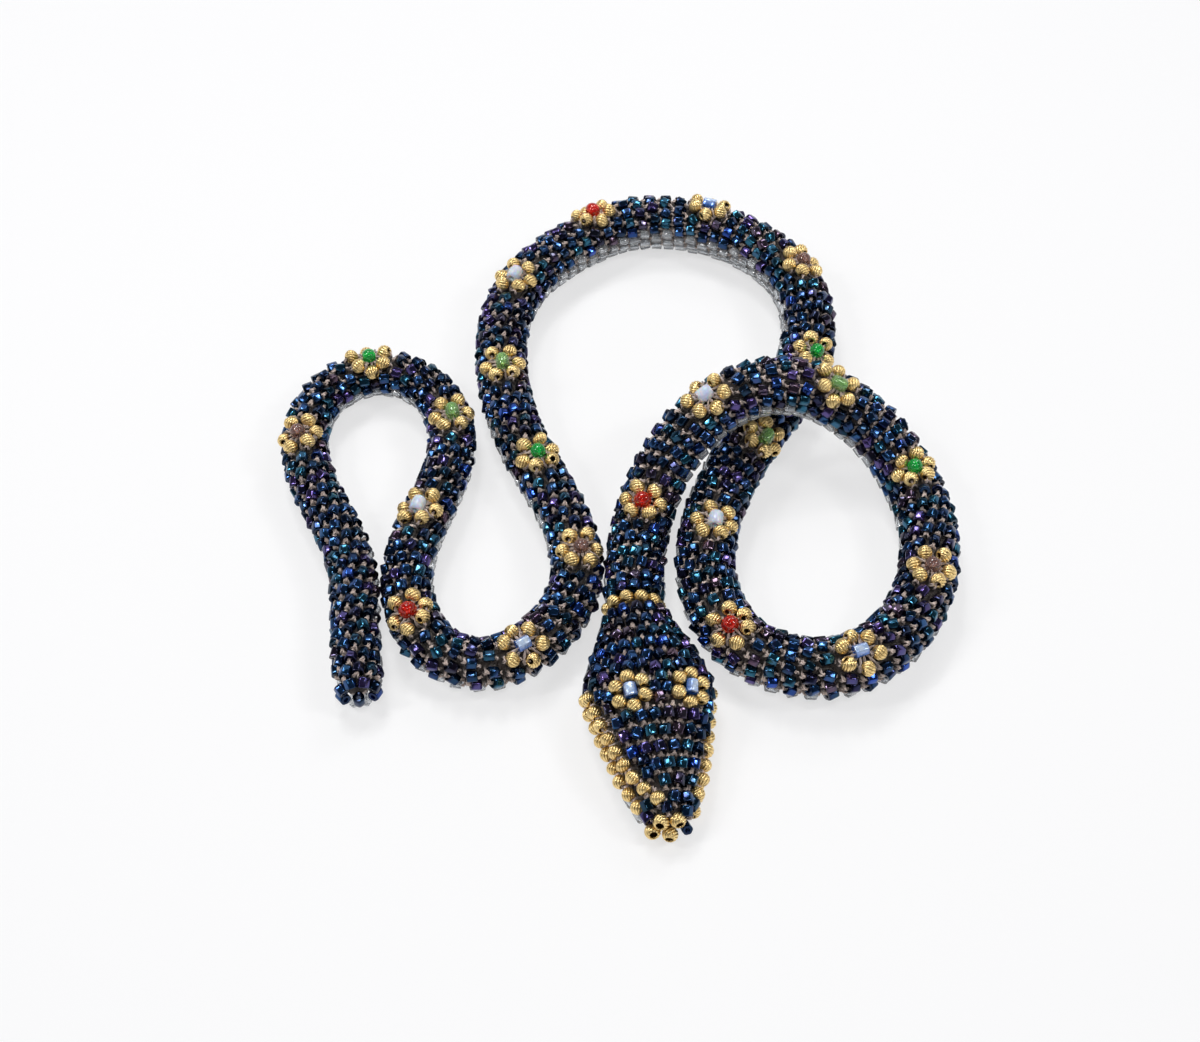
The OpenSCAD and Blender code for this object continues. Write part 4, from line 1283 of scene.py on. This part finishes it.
def head_fabric(start, end, closed_end=False):
    """The crocheted skin of the head between two places."""
    t = fabric_steps(start, end)
    angle = np.linspace(0, 360, HEAD_COLUMNS, endpoint=False)
    stitch = relief(t, HEAD_ROUND, angle, HEAD_STITCHES, HEAD_RELIEF)[..., None]
    rings = [head_point(x, angle, SKIN + FABRIC_SINK) + w * out_at(x, angle) for x, w in zip(t, stitch)]
    if closed_end:
        middle = rings[-1].mean(axis=0)
        rim = rings[-1] - middle
        ahead = slope_at(end, np.zeros(1))[0] * (1, 1, 0)
        for turn in np.linspace(0.2, 1, 6) * math.pi / 2:
            rings.append(middle + rim * math.cos(turn * 0.98) + ahead * NOSE_REACH * math.sin(turn))
    return np.vstack(rings), rings_to_quads(len(rings), HEAD_COLUMNS, closed=False)[:, ::-1]


class OBJECT_OT_snake_thread(bpy.types.Operator):
    """Crochet the thread tube and the stitches between the beads"""

    bl_idname = "object.snake_thread"
    bl_label = "Thread"
    series = 80

    def execute(self, context):
        ply = sizes(context).ply
        # Each kind of bead, its slant and lift, and the share of painted shade on its thread
        kinds = (("scale", SLANT, LIFT, 1), ("belly", PLAIN_SLANT, 0, BELLY_PAINTED_SHADE))
        for k, (span, (start, end)) in enumerate(ALL_SPANS.items()):
            tray = Tray(context, self.series + k)
            if span == "tip":
                end = TIP_FROM + 0.97 * (ring_r(TIP_FROM) - FABRIC_SINK)
            tray.add_fabric(*fabric(start, end, span == "tip"))
            for kind, slant, lift, painted_shade in kinds:
                s, a = beads_of(span, kind)
                if len(s):
                    add_stitches(tray, *seat(s, a, -BLUE_SINK, slant, lift), ply, kind == "scale", painted_shade)
            if len(beads_of(span, "petal")[0]):
                add_stitches(tray, *petal_seats(span), ply)
                add_spokes(tray, *seat(*beads_of(span, "centre"), FLOWER_RISE, PLAIN_SLANT, 0), ply)
            settle(tray.make(f"thread_{span}", "Crochet thread"), span, [f"{span}_core"])
        return {"FINISHED"}


class OBJECT_OT_snake_head_thread(bpy.types.Operator):
    """Crochet the skin of the head and its stitches"""

    bl_idname = "object.snake_head_thread"
    bl_label = "Head thread"
    series = 100

    def execute(self, context):
        ply = sizes(context).ply
        tray = Tray(context, self.series)
        tray.add_fabric(*head_fabric(NAPE_END, HEAD_LEN - NOSE_FROM, True))
        for kind, both in (("scale", True), ("belly", False), ("rest", False)):
            add_stitches(tray, *head_seat(*head_beads_of(kind), -HEAD_SINK), ply, both)
        for spots in (FILL, head_beads_of("left out")):
            add_stitches(tray, *head_seat(*spots, -FILL_SINK), ply)
        add_stitches(tray, *head_seat(*np.array(LIP).T, LIP_RISE), ply)
        settle(tray.make("thread_head", "Crochet thread"), "head", ["head_stuffing"])
        tray = Tray(context, self.series + 1)
        tray.add_fabric(*head_fabric(0, NAPE_END))
        add_stitches(tray, *head_seat(*head_beads_of("nape")), ply)
        piece = tray.make("thread_nape_bend", "Crochet thread")
        settle(piece, "nape_bend", ["nape_bend_core"])
        return {"FINISHED"}


class OBJECT_OT_snake_head_beads(bpy.types.Operator):
    """Lay the blue beads of the head and the clear ones under it"""

    bl_idname = "object.snake_head_beads"
    bl_label = "Head beads"
    series = 110

    def execute(self, context):
        mm = sizes(context)
        width, length = mm.blue
        tray = Tray(context, self.series)
        points, bases = head_seat(*np.hstack([head_beads_of("scale"), FILL]))
        bases = tray.vary(bases, *mm.off(CROWN_TURN))
        tray.add(TUBE, points, bases, width * CROWN_SIZE, length, ragged=0.05)
        settle(tray.make("blue_beads_head", "Iris glass"), "head", ["head_scales"])
        tray = Tray(context, self.series + 1)
        for kind in ("belly", "rest"):
            tray.add(TUBE, *head_seat(*head_beads_of(kind)), *mm.clear, roll=False)
        piece = tray.make("clear_beads_head", "Clear glass")
        settle(piece, "head", ["head_belly", "head_rest"])
        return {"FINISHED"}


COLLAR_D, COLLAR_PITCH, COLLAR_RISE = 2.05, 2.15, 0.1


class OBJECT_OT_snake_gold_trim(bpy.types.Operator):
    """Set the gold collar and the gold beads along the lip"""

    bl_idname = "object.snake_gold_trim"
    bl_label = "Collar and lip"
    series = 120

    def execute(self, context):
        mm = sizes(context)
        tray = Tray(context, self.series)
        # The collar stands upright, across the way between the rope's and the head's
        head_way = (-math.sin(HEAD_TURN), math.cos(HEAD_TURN), 0)
        along = unit((frame_at(0.0)[0] + head_way) * (1, 1, 0))
        up = np.array((0, 0, 1.0))
        directions = [d[None] for d in (along, up, np.cross(along, up))]
        r = rope_r(0) - COLLAR_D / 2 - BEAD_INSET
        n = int(2 * math.pi * r / COLLAR_PITCH)
        points, bases = ring_seats(PLACE + spot(0), directions, r + COLLAR_RISE, n)[:2]
        tray.add(GOLD_BEAD, points, tray.vary(bases, *COLLAR_TURN), *(mm.gold * COLLAR_SIZE), spread=0.03)
        settle(tray.make("gold_collar", "Gold plate"), "neck", ["collar"])
        tray = Tray(context, self.series + 1)
        points, bases = head_seat(*np.array(LIP).T, LIP_RISE)
        tray.add(GOLD_BEAD, points, tray.vary(bases, *LIP_TURN), *(mm.gold * LIP_SIZE), spread=0.04)
        settle(tray.make("gold_lip", "Gold plate"), "head", ["lip"])
        return {"FINISHED"}


EYE_SIZE, EYE_PROUD = (2.2, 2.1), 0.1


class OBJECT_OT_snake_eyes(bpy.types.Operator):
    """Set the eyes, their gold rings and the beads of the snout"""

    bl_idname = "object.snake_eyes"
    bl_label = "Eyes and snout"
    series = 130

    def execute(self, context):
        mm = sizes(context)
        tray = Tray(context, self.series)
        tray.add(lined_tube(), *eye_seats(EYE_RISE + EYE_PROUD), *EYE_SIZE, roll=False, spread=0.01)
        settle(tray.make("eye_beads", "Sky glass"), "head", ["eyes"])
        tray = Tray(context, self.series + 1)
        for ring, base in zip(*eye_ring_spots()):
            bases = tray.vary(np.repeat(base[None], len(ring), axis=0), *RING_TURN)
            tray.add(GOLD_BEAD, ring, bases, *(mm.gold * RING_SIZE), spread=0.03)
        settle(tray.make("gold_eye_rings", "Gold plate"), "head", ["eye_rings"])
        tray = Tray(context, self.series + 2)
        sin, cos = math.sin(HEAD_TURN), math.cos(HEAD_TURN)
        across = np.array((cos, sin, 0))
        hole = unit(np.array((sin, -cos, 0.8)))
        base = np.stack([across, np.cross(hole, across), hole], axis=1)
        points = np.array([head_spot(*p) for p in SNOUT])
        bases = tray.vary(np.repeat(base[None], len(points), axis=0), *SNOUT_TURN)
        tray.add(WIDE_HOLE_GOLD_BEAD, points[:-1], bases[:-1], *mm.gold, spread=0.03)
        tray.add(TUBE, points[-1:], bases[-1:], *mm.blue, material=1)
        piece = tray.make("snout_beads_gold", "Gold plate", "Iris glass")
        settle(piece, "head", ["snout_beads"])
        return {"FINISHED"}


# Stage

TABLE_HALF = 4.0
FLOOR_GLOW = 0.65
CAMERA_AT, CAMERA_TILT, LENS, SENSOR = (-0.0021, -0.1953, 0.2621), 36, 57, 36
# Each lamp's azimuth and elevation in degrees, distance, width and height, and the brightness of its
# face, where 1 is white
LAMPS = {
    "sky": (90, 50, 0.9, 0.7, 0.5, 0.8),
    "key": (115, 62, 0.9, 0.28, 0.28, 10),
    "left": (190, 48, 0.9, 0.14, 0.32, 9.5),
    "right": (-10, 50, 0.9, 0.14, 0.28, 9.5),
    "front": (-95, 65, 0.9, 0.26, 0.14, 9.5),
    "back": (60, 40, 0.9, 0.14, 0.24, 9),
    "key_core": (105, 58, 0.85, 0.05, 0.05, 75),
    "left_core": (185, 52, 0.85, 0.04, 0.07, 65),
    "right_core": (-5, 46, 0.85, 0.04, 0.07, 65),
}


def soft_lamp(name, azimuth, elevation, away, width, height, brightness):
    """A rectangular lamp that points at the snake."""
    data = bpy.data.lights.new(name, "AREA")
    data.shape = "RECTANGLE"
    data.size, data.size_y = width, height
    data.energy = brightness * math.pi * width * height
    lamp = bpy.data.objects.new(name, data)
    a, e = math.radians(azimuth), math.radians(elevation)
    at = Vector((math.cos(a) * math.cos(e), math.sin(a) * math.cos(e), math.sin(e))) * away
    lamp.matrix_world = Matrix.Translation(at) @ at.to_track_quat("Z", "Y").to_matrix().to_4x4()
    bpy.context.scene.collection.objects.link(lamp)


class OBJECT_OT_snake_stage(bpy.types.Operator):
    """Set the floor, the lamps and the camera"""

    bl_idname = "object.snake_stage"
    bl_label = "Stage"

    def execute(self, context):
        self.lay_table(context)
        self.light_world(context)
        for name, values in LAMPS.items():
            soft_lamp(name, *values)
        data = bpy.data.cameras.new("camera")
        data.sensor_fit = "HORIZONTAL"
        data.sensor_width, data.lens = SENSOR, LENS
        camera = bpy.data.objects.new("camera", data)
        camera.location = CAMERA_AT
        camera.rotation_euler = (math.radians(CAMERA_TILT), 0, 0)
        context.scene.collection.objects.link(camera)
        context.scene.camera = camera
        context.scene.view_settings.view_transform = "Standard"
        return {"FINISHED"}

    def lay_table(self, context):
        f = Finish("Pale table")
        pale = f.blend(f.patches(3, 2.0, 0.3, 0.7, 1), (0.93, 0.93, 0.935), (0.95, 0.95, 0.95))
        f.join(pale, "Base Color")
        f.set(Roughness=0.9, Specular_IOR_Level=0.1)
        self.brighten(f)
        mesh = bpy.data.meshes.new("table")
        corners = [(x * TABLE_HALF, y * TABLE_HALF, 0) for x, y in ((-1, -1), (1, -1), (1, 1), (-1, 1))]
        mesh.from_pydata(corners, [], [(0, 1, 2, 3)])
        mesh.materials.append(f.material)
        table = bpy.data.objects.new("table", mesh)
        context.scene.collection.objects.link(table)

    def brighten(self, f):
        """Lets the floor look nearly white where it is seen, with a fainter shadow than it receives."""
        ray, white, mixed = f.add("LightPath"), f.add("Emission"), f.add("MixShader")
        where, far = f.add("TexCoord"), f.add("VectorMath", operation="LENGTH")
        f.links.new(where.outputs["Object"], far.inputs[0])
        away = far.outputs["Value"]
        # Painted light: the white seen on the floor is brighter near the snake and dimmer far off, where
        # it meets the horizon
        near_far = [(0, (0.97, 0.97, 0.975)), (1, (0.9, 0.9, 0.915))]
        f.links.new(f.ramp(f.between(away, 0.04, 0.25, 0, 1), near_far), white.inputs["Color"])
        seen = f.combine(ray.outputs["Is Camera Ray"], ray.outputs["Is Glossy Ray"], "MAXIMUM")
        seen = f.combine(seen, ray.outputs["Is Transmission Ray"], "MAXIMUM")
        share = f.combine(seen, f.between(away, 0.3, 1, FLOOR_GLOW, 1), "MULTIPLY")
        f.links.new(share, mixed.inputs[0])
        f.links.new(f.shader.outputs[0], mixed.inputs[1])
        f.links.new(white.outputs[0], mixed.inputs[2])
        f.links.new(mixed.outputs[0], f.nodes["Material Output"].inputs["Surface"])

    def light_world(self, context):
        """Makes a world that is pale near the horizon and dim above it."""
        world = bpy.data.worlds.new("studio")
        world.use_nodes = True
        nodes, links = world.node_tree.nodes, world.node_tree.links
        where, split, band = (nodes.new("ShaderNode" + k) for k in ("TexCoord", "SeparateXYZ", "ValToRGB"))
        links.new(where.outputs["Generated"], split.inputs[0])
        links.new(split.outputs["Z"], band.inputs[0])
        low, high = band.color_ramp.elements
        low.position, low.color = 0.2, (0.9, 0.9, 0.915, 1)
        high.position, high.color = 0.4, (0.06, 0.062, 0.067, 1)
        links.new(band.outputs[0], nodes["Background"].inputs["Color"])
        context.scene.world = world


class VIEW3D_PT_snake(bpy.types.Panel):
    """Sizes, colours and steps of the snake"""

    bl_label = "Bead Crochet Snake"
    bl_idname = "VIEW3D_PT_snake"
    bl_space_type = "VIEW_3D"
    bl_region_type = "UI"
    bl_category = "Snake"

    def draw(self, context):
        for group in (context.scene.snake_sizes, context.scene.snake_colours):
            box = self.layout.box()
            for name in group.__annotations__:
                box.prop(group, name)
        for step in STEPS:
            self.layout.operator(step.bl_idname)


STEPS = (
    OBJECT_OT_snake_stage,
    OBJECT_OT_snake_blue_beads,
    OBJECT_OT_snake_clear_beads,
    OBJECT_OT_snake_bends,
    OBJECT_OT_snake_petals,
    OBJECT_OT_snake_centres,
    OBJECT_OT_snake_thread,
    OBJECT_OT_snake_head_thread,
    OBJECT_OT_snake_head_beads,
    OBJECT_OT_snake_gold_trim,
    OBJECT_OT_snake_eyes,
)
CLASSES = (SnakeSizes, SnakeColours, *STEPS, VIEW3D_PT_snake)


def register():
    for c in CLASSES:
        bpy.utils.register_class(c)
    bpy.types.Scene.snake_sizes = PointerProperty(type=SnakeSizes)
    bpy.types.Scene.snake_colours = PointerProperty(type=SnakeColours)


def unregister():
    del bpy.types.Scene.snake_colours
    del bpy.types.Scene.snake_sizes
    for c in reversed(CLASSES):
        bpy.utils.unregister_class(c)


def main():
    register()
    for step in STEPS:
        getattr(bpy.ops.object, step.bl_idname.split(".")[1])()


if __name__ == "__main__":
    main()
